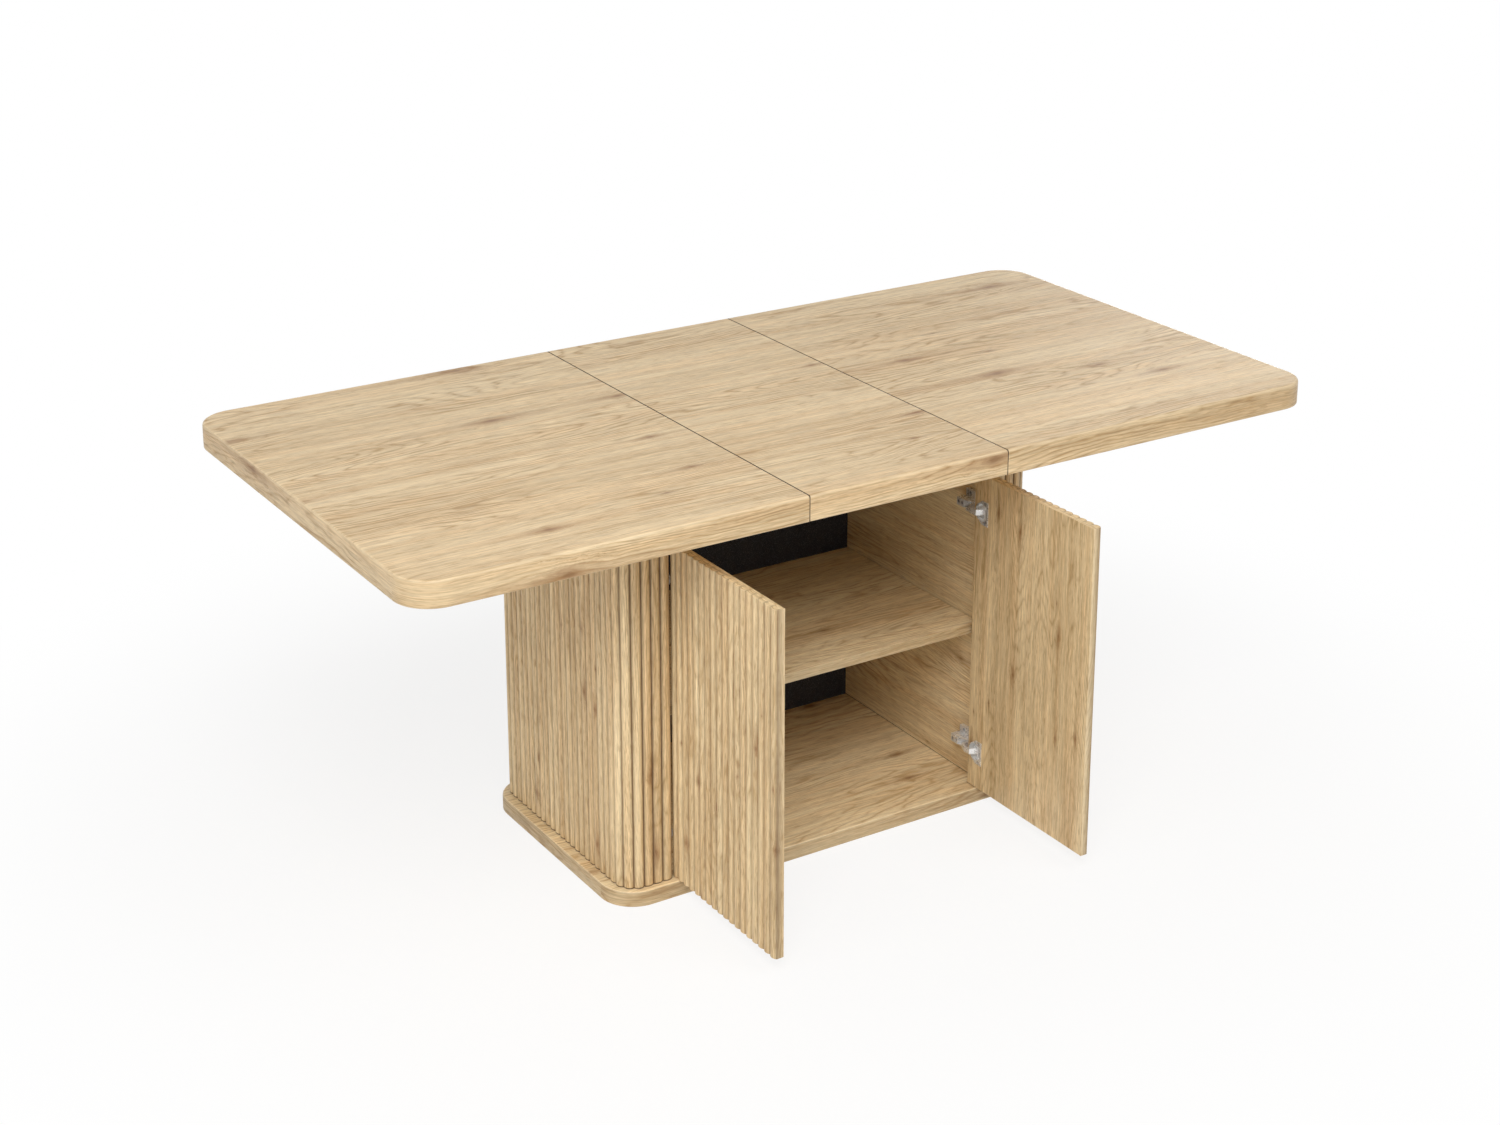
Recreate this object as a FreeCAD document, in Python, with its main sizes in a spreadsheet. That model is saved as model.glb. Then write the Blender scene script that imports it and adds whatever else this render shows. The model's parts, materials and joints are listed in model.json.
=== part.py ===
import FreeCAD, Part
import math
import os

import Sketcher

# Extending dining table on a fluted storage cabinet.
# Millimetres. Origin on the floor under the middle of the table, +X to the right,
# +Y to the back, +Z up. It stands with its middle leaf in place and both doors
# open at a right angle. The right half is modelled and most of the left half is
# its mirror image.

V = FreeCAD.Vector
doc = FreeCAD.newDocument("kitchen_table")

# ---------------------------------------------------------------- driving sizes
SIZES = (
    ("table_length", 1800.0, "over the ends, middle leaf in place"),
    ("table_width", 900.0, "front to back"),
    ("table_height", 780.0, "floor to tabletop"),
    ("top_thickness", 45.0, "tabletop boards"),
    ("top_corner_radius", 65.0, "plan corners of the tabletop"),
    ("top_edge_round", 5.0, "upper edge of the tabletop"),
    ("underside_round", 2.0, "lower edge of the tabletop"),
    ("middle_leaf_width", 400.0, "between the two seams"),
    ("seam_gap", 1.0, "between neighbouring boards of the top"),
    ("leaf_seat_gap", 0.3, "middle leaf above the runners"),
    ("plinth_length", 893.0, "plinth board, left to right"),
    ("plinth_width", 488.0, "plinth board, front to back"),
    ("plinth_thickness", 28.0, "plinth board"),
    ("plinth_radius", 65.0, "plan corners of the plinth"),
    ("plinth_round", 3.0, "upper edge of the plinth"),
    ("flute_pitch", 18.3, "chord of one convex flute"),
    ("flute_depth", 4.0, "crown of a flute above its valleys"),
    ("side_flutes", 21.0, "flutes on a cabinet end"),
    ("corner_flutes", 3.0, "flutes round a cabinet corner"),
    ("strip_flutes", 3.0, "flutes between a corner and a door"),
    ("door_flutes", 18.0, "flutes on a door"),
    ("body_corner_radius", 40.0, "cabinet corners over the flute crowns"),
    ("skin_thickness", 9.0, "fluted skins over the flute crowns"),
    ("door_thickness", 18.0, "door over the flute crowns"),
    ("door_floor_gap", 2.0, "door above the plinth"),
    ("door_head_gap", 2.0, "door below the head rail"),
    ("door_meeting_gap", 2.0, "between the closed doors"),
    ("door_side_gap", 3.0, "closed door to the fixed strip"),
    ("pivot_from_edge", 7.3, "hinge axis to the door's hinge edge"),
    ("pivot_from_face", 12.1, "hinge axis to the door's inner face"),
    ("panel_setback", 2.1, "side panel behind the strip's edge"),
    ("panel_thickness", 16.0, "side panels, ribs"),
    ("lining_thickness", 4.0, "dark back lining"),
    ("rear_panel_gap", 0.5, "rear panel to the fixed strips"),
    ("rear_flutes", 36.0, "flutes on the rear panel"),
    ("head_rail_height", 27.0, "rail over the doors"),
    ("cap_thickness", 16.0, "cap board of the cabinet"),
    ("cap_overhang", 2.0, "cap board beyond the flutes"),
    ("slide_zone_height", 43.0, "cap board to tabletop"),
    ("shelf_clear_height", 300.0, "plinth board to shelf"),
    ("shelf_thickness", 18.0, "shelf"),
    ("shelf_setback", 3.0, "shelf behind the closed doors"),
    ("shelf_end_gap", 1.0, "shelf to the side panels and the lining"),
    ("pin_radius", 2.5, "shelf pins"),
    ("pin_length", 20.0, "shelf pins"),
    ("pin_depth", 10.0, "shelf pins in the side panels"),
    ("pin_inset", 50.0, "shelf pins from the shelf's long edges"),
    ("dowel_radius", 4.0, "wooden dowels"),
    ("dowel_length", 24.0, "wooden dowels"),
    ("fit_clearance", 0.05, "fasteners in their holes"),
    ("rib_clearance", 0.2, "ribs to the fluted skins"),
    ("track_length", 800.0, "slide tracks"),
    ("track_width", 26.0, "slide tracks"),
    ("track_height", 22.0, "slide tracks"),
    ("track_wall", 2.0, "slide tracks"),
    ("track_slot", 10.0, "slot between the lips of a track"),
    ("left_track_offset", 172.0, "tracks of the left top, from the centre line"),
    ("right_track_offset", 140.0, "tracks of the right top, from the centre line"),
    ("runner_length", 710.0, "runners under the end tops"),
    ("runner_overlap", 350.0, "runner past the seam, under the middle leaf"),
    ("runner_web", 6.0, "runner web"),
    ("runner_flange_width", 24.0, "runner flange"),
    ("runner_flange", 3.0, "runner flange"),
    ("slide_clearance", 0.4, "runner in its track, above and below"),
    ("slide_side_clearance", 1.0, "runner in its track, each side"),
    ("slide_travel", 60.0, "pull-out of an end top beyond the leaf"),
    ("stop_length", 8.0, "slide stops"),
    ("stop_height", 6.0, "slide stops"),
    ("cleat_length", 380.0, "cleats under the middle leaf"),
    ("cleat_width", 20.0, "cleats under the middle leaf"),
    ("cleat_height", 16.0, "cleats under the middle leaf"),
    ("cleat_offset", 105.0, "cleats from the centre line"),
    ("hinge_inset", 72.0, "hinges from the door's ends"),
    ("hinge_plate_thickness", 8.0, "hinge mounting plate"),
    ("hinge_plate_height", 44.0, "hinge mounting plate"),
    ("hinge_plate_width", 26.0, "hinge mounting plate"),
    ("hinge_plate_setback", 43.2, "middle of the plate behind the hinge axis"),
    ("plate_screw_inset", 6.0, "plate screws from the plate's ends"),
    ("plate_screw_length", 20.0, "plate screws"),
    ("arm_width", 15.0, "hinge arm"),
    ("arm_sheet", 1.2, "hinge arm and cup flange"),
    ("arm_reach", 25.5, "hinge arm, from the side panel"),
    ("arm_length", 60.2, "hinge arm, from the axis to its tail"),
    ("arm_web_setback", 18.0, "web of the arm behind the link pin"),
    ("arm_wall_gap", 0.4, "side walls of the arm above the plate"),
    ("arm_screw_spacing", 10.0, "the two screws of the arm"),
    ("nose_offset", 21.25, "link pin behind the hinge axis"),
    ("nose_radius", 4.0, "rounded nose of the arm"),
    ("link_pin_radius", 1.5, "link pin"),
    ("link_thickness", 2.6, "gooseneck link"),
    ("link_width", 11.0, "gooseneck link"),
    ("link_standoff", 10.0, "gooseneck link off the open door's face"),
    ("link_tip_depth", 4.1, "tip of the link in the cup"),
    ("cup_pin_gap", 0.35, "tip of the link to the cup pin"),
    ("cup_radius", 17.5, "hinge cup"),
    ("cup_wall", 0.9, "hinge cup"),
    ("cup_depth", 11.5, "hinge cup"),
    ("cup_edge_distance", 21.0, "cup centre to the door's hinge edge"),
    ("cup_clearance", 0.2, "cup in its bore"),
    ("cup_rim", 0.7, "rim round the cup"),
    ("flange_height", 46.0, "cup flange, end to end of its wings"),
    ("flange_width", 17.0, "wings of the cup flange"),
    ("cup_screw_offset", 19.0, "cup screws above and below the cup centre"),
    ("screw_radius", 2.0, "board screws"),
    ("screw_length", 40.0, "board screws through the plinth"),
    ("short_screw_length", 28.0, "board screws through the cap and the cleats"),
    ("screw_head_radius", 4.0, "board screws"),
    ("screw_head_height", 3.0, "board screws"),
    ("small_screw_radius", 1.6, "fitting screws"),
    ("small_screw_length", 12.0, "fitting screws"),
    ("small_head_radius", 3.2, "fitting screws"),
    ("small_head_height", 1.6, "fitting screws"),
    ("screw_margin", 30.0, "end screws from the ends of tracks, runners and cleats"),
    ("panel_screw_inset", 45.0, "end screws from the edges of the side panels"),
    ("panel_dowel_inset", 100.0, "dowels from the edges of the side panels"),
)

# Sizes that follow from the driving ones.
DERIVED = (
    ("underside", "table_height - top_thickness"),
    ("seam_x", "middle_leaf_width / 2 + seam_gap / 2"),
    ("cap_top", "underside - slide_zone_height"),
    ("body_top", "cap_top - cap_thickness"),
    ("rail_base", "body_top - head_rail_height"),
    ("door_base", "plinth_thickness + door_floor_gap"),
    ("door_height", "rail_base - door_head_gap - door_base"),
    ("door_width", "door_flutes * flute_pitch"),
    ("strip_edge", "door_meeting_gap / 2 + door_width + door_side_gap"),
    ("half_length", "strip_edge + strip_flutes * flute_pitch + body_corner_radius"),
    ("half_width", "side_flutes * flute_pitch / 2 + body_corner_radius"),
    ("body_height", "body_top - plinth_thickness"),
    ("panel_x", "strip_edge + panel_setback"),
    ("skin_y", "half_width - skin_thickness"),
    ("lining_y", "skin_y - lining_thickness"),
    ("closed_face_y", "-half_width + door_thickness"),
    ("pivot_x", "door_meeting_gap / 2 + door_width - pivot_from_edge"),
    ("pivot_y", "closed_face_y - pivot_from_face"),
    ("open_face_x", "pivot_x - pivot_from_face"),
    ("open_edge_y", "pivot_y + pivot_from_edge"),
    ("shelf_base", "plinth_thickness + shelf_clear_height"),
    ("shelf_front", "closed_face_y + shelf_setback"),
    ("shelf_back", "lining_y - shelf_end_gap"),
    ("lower_hinge_z", "door_base + hinge_inset"),
    ("upper_hinge_z", "door_base + door_height - hinge_inset"),
    ("plate_x", "panel_x - hinge_plate_thickness"),
    ("plate_y", "pivot_y + hinge_plate_setback"),
    ("nose_x", "pivot_x"),
    ("nose_y", "pivot_y + nose_offset"),
    ("arm_face_x", "panel_x - arm_reach"),
    ("arm_tail_y", "pivot_y + arm_length"),
    ("arm_web_y", "nose_y + arm_web_setback"),
    ("arm_screw_y", "(arm_web_y + arm_tail_y) / 2"),
    ("cup_y", "open_edge_y - cup_edge_distance"),
    ("flange_y", "cup_y - cup_radius - cup_rim + flange_width / 2"),
    ("cup_pin_x", "open_face_x + link_tip_depth"),
    ("cup_pin_y", "cup_y - link_thickness / 2 - link_pin_radius - cup_pin_gap"),
    ("cup_pin_length", "2 * cup_radius - 1.5 * cup_wall"),
    ("runner_reach", "runner_length - runner_overlap"),
    ("runner_height", "slide_zone_height - track_wall - slide_clearance"),
    ("runner_base", "cap_top + track_wall + slide_clearance"),
    ("foot_height", "track_height - 2 * track_wall - 2 * slide_clearance"),
    ("foot_width", "track_width - 2 * track_wall - 2 * slide_side_clearance"),
    ("runner_end", "runner_overlap - seam_x"),
    ("stop_x", "runner_end - stop_length - slide_travel - slide_clearance"),
    ("cap_half_length", "half_length + cap_overhang"),
    ("cap_half_width", "half_width + cap_overhang"),
    ("cap_radius", "body_corner_radius + cap_overhang"),
    ("rib_radius", "body_corner_radius - skin_thickness - rib_clearance"),
    ("rib_x", "panel_x + panel_thickness"),
    ("rib_depth", "2 * (skin_y - rib_clearance)"),
    ("rib_reach", "half_length - skin_thickness - rib_clearance - rib_x"),
)

sheet = doc.addObject("Spreadsheet::Sheet", "dims")
for row, (alias, value, note) in enumerate(SIZES, start=1):
    sheet.set(f"A{row}", alias)
    sheet.set(f"B{row}", str(value))
    sheet.set(f"C{row}", note)
    sheet.setAlias(f"B{row}", alias)
for row, (alias, formula) in enumerate(DERIVED, start=len(SIZES) + 2):
    sheet.set(f"A{row}", alias)
    sheet.set(f"B{row}", "=" + formula)
    sheet.setAlias(f"B{row}", alias)
    doc.recompute()


def size(alias):
    """The sheet's value of a named size, as a plain number."""
    value = sheet.get(alias)
    return float(getattr(value, "Value", value))


def cell(expression):
    """An expression with each of the sheet's names given its sheet."""
    words = []
    for word in expression.split():
        bare = word.strip("()-")
        named = bare.isidentifier()
        words.append(word.replace(bare, "dims." + bare) if named else word)
    return " ".join(words)


def bind(item, **expressions):
    for prop, expression in expressions.items():
        item.setExpression(prop, cell(expression))
    return item


def place(item, x="0", y="0", z="0"):
    """Ties an object's position to the sheet."""
    for axis, expression in (("x", x), ("y", y), ("z", z)):
        item.setExpression("Placement.Base." + axis, cell(expression))
    return item


# ---------------------------------------------------------------- shared makers
DRAFT_SIDE = 100.0      # sides of a board's sketch before they are tied to the sheet
TOLERANCE = 1e-6        # between two places that are meant to be the same
SHORTEST_EDGE = 1.0     # shorter edges are never the long ones of a board


def plane_of(body, role):
    return next(f for f in body.Origin.OriginFeatures if f.Role == role)


def new_sketch(body, name, role):
    sketch = body.newObject("Sketcher::SketchObject", name)
    sketch.AttachmentSupport = (plane_of(body, role), [""])
    sketch.MapMode = "FlatFace"
    return sketch


def pad_sketch(body, sketch, height):
    pad = body.newObject("PartDesign::Pad", sketch.Name + "_pad")
    pad.Profile = sketch
    bind(pad, Length=height)
    doc.recompute()
    return pad


def profile_body(name, curves, height, role="XY_Plane"):
    """A board or bar with the cross-section given by a closed list of curves."""
    body = doc.addObject("PartDesign::Body", name)
    sketch = new_sketch(body, name + "_outline", role)
    sketch.addGeometry(curves, False)
    pad_sketch(body, sketch, height)
    return body


def board(name, width, depth, height):
    """A rectangular board on a fully constrained sketch, its low corner at 0, 0, 0."""
    body = doc.addObject("PartDesign::Body", name)
    sketch = new_sketch(body, name + "_outline", "XY_Plane")
    corners = [V(0, 0), V(DRAFT_SIDE, 0), V(DRAFT_SIDE, DRAFT_SIDE), V(0, DRAFT_SIDE)]
    sides = [Part.LineSegment(a, b) for a, b in zip(corners, corners[1:] + corners[:1])]
    sketch.addGeometry(sides, False)
    for side in range(4):
        sketch.addConstraint(Sketcher.Constraint("Coincident", side, 2, (side + 1) % 4, 1))
        direction = "Vertical" if side % 2 else "Horizontal"
        sketch.addConstraint(Sketcher.Constraint(direction, side))
    sketch.addConstraint(Sketcher.Constraint("Coincident", 0, 1, -1, 1))
    for side, label, expression in ((0, "width", width), (1, "depth", depth)):
        kind = "DistanceY" if side else "DistanceX"
        index = sketch.addConstraint(Sketcher.Constraint(kind, side, 1, side, 2, DRAFT_SIDE))
        sketch.renameConstraint(index, label)
        sketch.setExpression("Constraints." + label, cell(expression))
    pad_sketch(body, sketch, height)
    return body


def round_edges(body, name, radius, wanted):
    """Rounds the edges of the body's tip whose bounding box passes the test."""
    base = body.Tip
    names = []
    for number, edge in enumerate(base.Shape.Edges, start=1):
        if wanted(edge.BoundBox):
            names.append(f"Edge{number}")
    fillet = body.newObject("PartDesign::Fillet", body.Name + "_" + name)
    fillet.Base = (base, names)
    bind(fillet, Radius=radius)
    body.Tip = fillet
    doc.recompute()


def upright(box):
    """An edge that stands upright."""
    return box.ZLength > SHORTEST_EDGE and max(box.XLength, box.YLength) < TOLERANCE


def level_at(height):
    """A test for edges that lie at one height."""
    return lambda box: max(abs(box.ZMin - height), abs(box.ZMax - height)) < TOLERANCE


def block(name, x, y, z):
    """A plain box; its length, width and height are expressions."""
    return bind(doc.addObject("Part::Box", name), Length=x, Width=y, Height=z)


def rod(name, radius, height, direction=V(0, 0, 1)):
    cylinder = bind(doc.addObject("Part::Cylinder", name), Radius=radius, Height=height)
    cylinder.Placement.Rotation = FreeCAD.Rotation(V(0, 0, 1), direction)
    return cylinder


def group(name, items):
    compound = doc.addObject("Part::Compound", name)
    compound.Links = items
    return compound


def copies(name, master, places):
    """Linked copies of a master: places are (x, y, z expressions, direction)."""
    links = []
    for number, (x, y, z, direction) in enumerate(places, start=1):
        link = doc.addObject("App::Link", f"{name}_{number}")
        link.LinkedObject = master
        link.LinkTransform = True
        link.Placement.Rotation = FreeCAD.Rotation(V(0, 0, -1), direction)
        links.append(place(link, x, y, z))
    return group(name, links)


def cut(name, base, tools):
    result = doc.addObject("Part::Cut", name)
    result.Base = base
    result.Tool = tools[0] if len(tools) == 1 else group(name + "_tools", tools)
    return result


def fuse(name, items):
    result = doc.addObject("Part::MultiFuse", name)
    result.Shapes = items
    return result


def mirrored(name, source):
    """The mirror image of a piece in the plane between left and right."""
    mirror = doc.addObject("Part::Mirroring", name)
    mirror.Source = source
    mirror.Base = V(0, 0, 0)
    mirror.Normal = V(1, 0, 0)
    return mirror


nodes = {}


def node(label, item):
    """Marks a finished piece of the table."""
    item.Label = label
    nodes[label] = item
    return item


def both_sides(label, right_item):
    """The right-hand piece and its mirror image on the left."""
    node("right_" + label, right_item)
    node("left_" + label, mirrored("mirror_" + label, right_item))


UP = V(0, 0, 1)
DOWN = V(0, 0, -1)
RIGHT = V(1, 0, 0)


# ---------------------------------------------------------------- flutes
def arc_through(start, middle, end):
    """The arc from start to end through a third point, about an axis along +Z."""
    circle = Part.Arc(start, middle, end).toShape().Curve
    turn = (middle - start).cross(end - middle).z
    angles = []
    for point in (start, end) if turn > 0 else (end, start):
        offset = point - circle.Center
        angles.append(math.atan2(offset.y, offset.x))
    first, last = angles
    if last < first:
        last += 2 * math.pi
    return Part.ArcOfCircle(Part.Circle(circle.Center, V(0, 0, 1), circle.Radius), first, last)


def flute_run(start, end, count, outward):
    """Convex flutes side by side: arcs from valley to valley over their crowns."""
    step = (end - start) * (1.0 / count)
    crown = step * 0.5 + outward * size("flute_depth")
    curves = []
    for i in range(count):
        valley = start + step * i
        curves.append(arc_through(valley, valley + crown, valley + step))
    return curves


def flute_turn(centre, radius, start_angle, count):
    """Flutes round a quarter turn of valleys, anticlockwise."""
    step = math.pi / 2 / count
    crown_radius = radius + size("flute_depth")
    curves = []
    for i in range(count):
        points = []
        for half_steps, reach in ((0, radius), (1, crown_radius), (2, radius)):
            angle = start_angle + (i + half_steps / 2) * step
            points.append(centre + V(math.cos(angle), math.sin(angle)) * reach)
        curves.append(arc_through(*points))
    return curves


def polyline(points):
    return [Part.LineSegment(a, b) for a, b in zip(points, points[1:])]


def fluted_board(name, width, thickness, count, height):
    """A flat board, its low corner at 0, 0, with flutes on the face towards -Y."""
    depth = size("flute_depth")
    curves = flute_run(V(0, depth), V(width, depth), count, V(0, -1))
    curves += polyline([V(width, depth), V(width, thickness), V(0, thickness), V(0, depth)])
    return profile_body(name, curves, height)


def quarter(centre, radius, start_angle):
    """A plain quarter circle, anticlockwise."""
    circle = Part.Circle(centre, V(0, 0, 1), radius)
    return Part.ArcOfCircle(circle, start_angle, start_angle + math.pi / 2)


def fluted_end(name):
    """The skin that wraps the right end of the cabinet, seen from above."""
    depth = size("flute_depth")
    thickness = size("skin_thickness")
    radius = size("body_corner_radius")
    edge = size("strip_edge")
    long_side = size("half_length")
    short_side = size("half_width")
    turn_x = long_side - radius
    turn_y = short_side - radius
    strip = int(size("strip_flutes"))
    corner = int(size("corner_flutes"))
    front = -short_side + depth
    back = short_side - depth
    curves = flute_run(V(edge, front), V(turn_x, front), strip, V(0, -1))
    curves += flute_turn(V(turn_x, -turn_y), radius - depth, -math.pi / 2, corner)
    side_x = long_side - depth
    curves += flute_run(V(side_x, -turn_y), V(side_x, turn_y), int(size("side_flutes")), V(1, 0))
    curves += flute_turn(V(turn_x, turn_y), radius - depth, 0.0, corner)
    curves += flute_run(V(turn_x, back), V(edge, back), strip, V(0, 1))
    inner_front = -short_side + thickness
    inner_back = short_side - thickness
    inner_x = long_side - thickness
    curves += polyline([V(edge, back), V(edge, inner_back), V(turn_x, inner_back)])
    curves.append(quarter(V(turn_x, turn_y), radius - thickness, 0.0))
    curves += polyline([V(inner_x, turn_y), V(inner_x, -turn_y)])
    curves.append(quarter(V(turn_x, -turn_y), radius - thickness, -math.pi / 2))
    curves += polyline([V(turn_x, inner_front), V(edge, inner_front), V(edge, front)])
    return profile_body(name, curves, "body_height")


# ---------------------------------------------------------------- fasteners
def screw_master(name, radius, length, head_radius, head_height, spare):
    """A countersunk screw pointing down from its head's face at 0, 0, 0."""
    shank = rod(name + "_shank", radius + spare, length + spare, DOWN)
    head = doc.addObject("Part::Cone", name + "_head")
    bind(head, Radius1=radius + spare, Radius2=head_radius + spare, Height=head_height)
    place(head, z="-" + head_height)
    return fuse(name, [shank, head])


def crossed_screw(name, *sizes):
    """The screw with a cross recess in its head."""
    head_radius, head_height = sizes[2:4]
    slots = []
    for number, (x, y) in enumerate(((head_radius, head_radius + " / 4"),
                                     (head_radius + " / 4", head_radius)), start=1):
        slot = block(f"{name}_slot_{number}", x, y, head_height)
        slots.append(place(slot, f"-{x} / 2", f"-{y} / 2", f"-{head_height} / 2"))
    return cut(name, screw_master(name + "_blank", *sizes, ""), slots)


def screw_and_hole(name, *sizes):
    hole = screw_master(name + "_hole", *sizes, " + fit_clearance")
    return crossed_screw(name, *sizes), hole


BOARD_HEAD = ("screw_head_radius", "screw_head_height")
SMALL_HEAD = ("small_head_radius", "small_head_height")
board_screw, board_screw_hole = screw_and_hole(
    "board_screw", "screw_radius", "screw_length", *BOARD_HEAD)
short_screw, short_screw_hole = screw_and_hole(
    "short_screw", "screw_radius", "short_screw_length", *BOARD_HEAD)
small_screw, small_screw_hole = screw_and_hole(
    "small_screw", "small_screw_radius", "small_screw_length", *SMALL_HEAD)
plate_screw, plate_screw_hole = screw_and_hole(
    "plate_screw", "small_screw_radius", "plate_screw_length", *SMALL_HEAD)


# ---------------------------------------------------------------- slides
RUNNER_SCREWS = ("screw_margin", "runner_reach / 2", "runner_reach - screw_margin")


def slide_places(offset, z, direction):
    """Screws through the flanges of one end top's two runners, right-hand side."""
    places = []
    for sign in ("", "-"):
        for number, reach in enumerate(RUNNER_SCREWS):
            swing = "+" if number % 2 else "-"
            y = f"{sign}{offset} {swing} runner_flange_width / 3"
            places.append((f"seam_x + {reach}", y, z, direction))
    return places


def track_section():
    """A steel channel with lips, seen along +X, its base centred on 0, 0."""
    half = size("track_width") / 2
    wall = size("track_wall")
    tall = size("track_height")
    slot = size("track_slot") / 2
    points = [V(-half, 0), V(half, 0), V(half, tall), V(slot, tall), V(slot, tall - wall),
              V(half - wall, tall - wall), V(half - wall, wall), V(wall - half, wall),
              V(wall - half, tall - wall), V(-slot, tall - wall), V(-slot, tall),
              V(-half, tall), V(-half, 0)]
    return polyline(points)


def runner_section():
    """A runner: foot in the track, web through the slot, flange under the top."""
    foot = size("foot_width") / 2
    foot_top = size("foot_height")
    web = size("runner_web") / 2
    flange = size("runner_flange_width") / 2
    tall = size("runner_height")
    under = tall - size("runner_flange")
    points = [V(-foot, 0), V(foot, 0), V(foot, foot_top), V(web, foot_top), V(web, under),
              V(flange, under), V(flange, tall), V(-flange, tall), V(-flange, under),
              V(-web, under), V(-web, foot_top), V(-foot, foot_top), V(-foot, 0)]
    return polyline(points)


TRACK_SCREWS = ("-track_length / 2 + screw_margin", "-track_length / 6", "track_length / 6",
                "track_length / 2 - screw_margin")


def track(name, y):
    bar = profile_body(name + "_bar", track_section(), "track_length", "YZ_Plane")
    place(bar, "-track_length / 2", y, "cap_top")
    floor = "cap_top + track_wall"
    places = [(x, y, floor, DOWN) for x in TRACK_SCREWS]
    return cut(name, bar, [copies(name + "_holes", small_screw_hole, places)]), places


def runner(name, y, offset):
    """A runner of the right top: it starts under the middle leaf."""
    bar = profile_body(name + "_bar", runner_section(), "runner_length", "YZ_Plane")
    place(bar, "-runner_end", y, "runner_base")
    lug = block(name + "_lug", "stop_length", "runner_flange_width", "stop_height")
    place(lug, "-runner_end", f"{y} - runner_flange_width / 2",
          "cap_top + track_height + slide_clearance")
    body = fuse(name + "_blank", [bar, lug])
    places = slide_places(offset, "underside - runner_flange", UP)
    return cut(name, body, [copies(name + "_holes", small_screw_hole, places)])


def stop_pair(name, y):
    """Two stops on a track's lips, one each side of the web (right-hand top)."""
    width = "track_width / 2 - track_slot / 2"
    stops = []
    for side, low in (("a", f"{y} - track_width / 2"), ("b", f"{y} + track_slot / 2")):
        stop = block(f"{name}_{side}", "stop_length", width, "stop_height")
        stops.append(place(stop, "-stop_x", low, "cap_top + track_height"))
    return stops


track_screw_places = []
stops = []
for depth_name, sign in (("front", "-"), ("rear", "")):
    for side, offset in (("left", "left_track_offset"), ("right", "right_track_offset")):
        label = f"{side}_{depth_name}"
        rail, places = track(label + "_rail", sign + offset)
        node(label + "_track", rail)
        track_screw_places += places
        bar = runner(label + "_bar", sign + offset, offset)
        pair = stop_pair(label + "_stop", sign + offset)
        if side == "left":
            bar = mirrored(label + "_bar_mirror", bar)
            pair = [mirrored(item.Name + "_mirror", item) for item in pair]
        node(label + "_runner", bar)
        stops += pair
node("track_stops", group("track_stops", stops))
node("track_screws", copies("track_screws", small_screw, track_screw_places))

for side, offset in (("left", "left_track_offset"), ("right", "right_track_offset")):
    places = slide_places(offset, "underside - runner_flange", UP)
    screws = copies(side + "_runner_screws", small_screw, places)
    if side == "left":
        screws = mirrored("left_runner_screws_mirror", screws)
    node(side + "_runner_screws", screws)


# ---------------------------------------------------------------- tabletop
def end_top(name, offset):
    """The right end of the tabletop, its seam side towards the middle leaf."""
    body = board(name + "_board", "table_length / 2 - seam_x", "table_width", "top_thickness")
    place(body, "seam_x", "-table_width / 2", "underside")
    doc.recompute()
    end_x = size("table_length") / 2
    seam_x = size("seam_x")
    outer = lambda box: upright(box) and abs(box.XMax + seam_x - end_x) < TOLERANCE
    round_edges(body, "corners", "top_corner_radius", outer)
    off_seam = lambda box: box.XMax > TOLERANCE
    above = level_at(size("top_thickness"))
    below = level_at(0.0)
    round_edges(body, "upper", "top_edge_round", lambda box: above(box) and off_seam(box))
    round_edges(body, "lower", "underside_round", lambda box: below(box) and off_seam(box))
    places = slide_places(offset, "underside - runner_flange", UP)
    return cut(name, body, [copies(name + "_holes", small_screw_hole, places)])


node("right_top", end_top("right_top", "right_track_offset"))
node("left_top", mirrored("left_top", end_top("left_top_blank", "left_track_offset")))

CLEAT_SCREWS = ("-cleat_length / 2 + screw_margin", "0", "cleat_length / 2 - screw_margin")
cleat_places = []
cleats = []
for sign in ("-", ""):
    cleat = block("cleat" + ("_front" if sign else "_rear"),
                  "cleat_length", "cleat_width", "cleat_height")
    place(cleat, "-cleat_length / 2", f"{sign}cleat_offset - cleat_width / 2",
          "underside + leaf_seat_gap - cleat_height")
    cleats.append(cleat)
    for x in CLEAT_SCREWS:
        cleat_places.append((x, sign + "cleat_offset",
                             "underside + leaf_seat_gap - cleat_height", UP))
leaf_board = board("leaf_board", "middle_leaf_width - seam_gap", "table_width",
                   "top_thickness - leaf_seat_gap")
place(leaf_board, "-middle_leaf_width / 2 + seam_gap / 2", "-table_width / 2",
      "underside + leaf_seat_gap")
doc.recompute()


def long_edge(level):
    """Edges along X at one height of a board."""
    return lambda box: level(box) and box.XLength > SHORTEST_EDGE


round_edges(leaf_board, "upper", "top_edge_round",
            long_edge(level_at(size("top_thickness") - size("leaf_seat_gap"))))
round_edges(leaf_board, "lower", "underside_round", long_edge(level_at(0.0)))
node("middle_leaf", cut("middle_leaf", leaf_board,
                        [copies("middle_leaf_holes", short_screw_hole, cleat_places)]))
node("middle_leaf_cleats", cut("middle_leaf_cleats", group("cleat_pair", cleats),
                               [copies("cleat_holes", short_screw_hole, cleat_places)]))
node("middle_leaf_screws", copies("middle_leaf_screws", short_screw, cleat_places))

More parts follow.
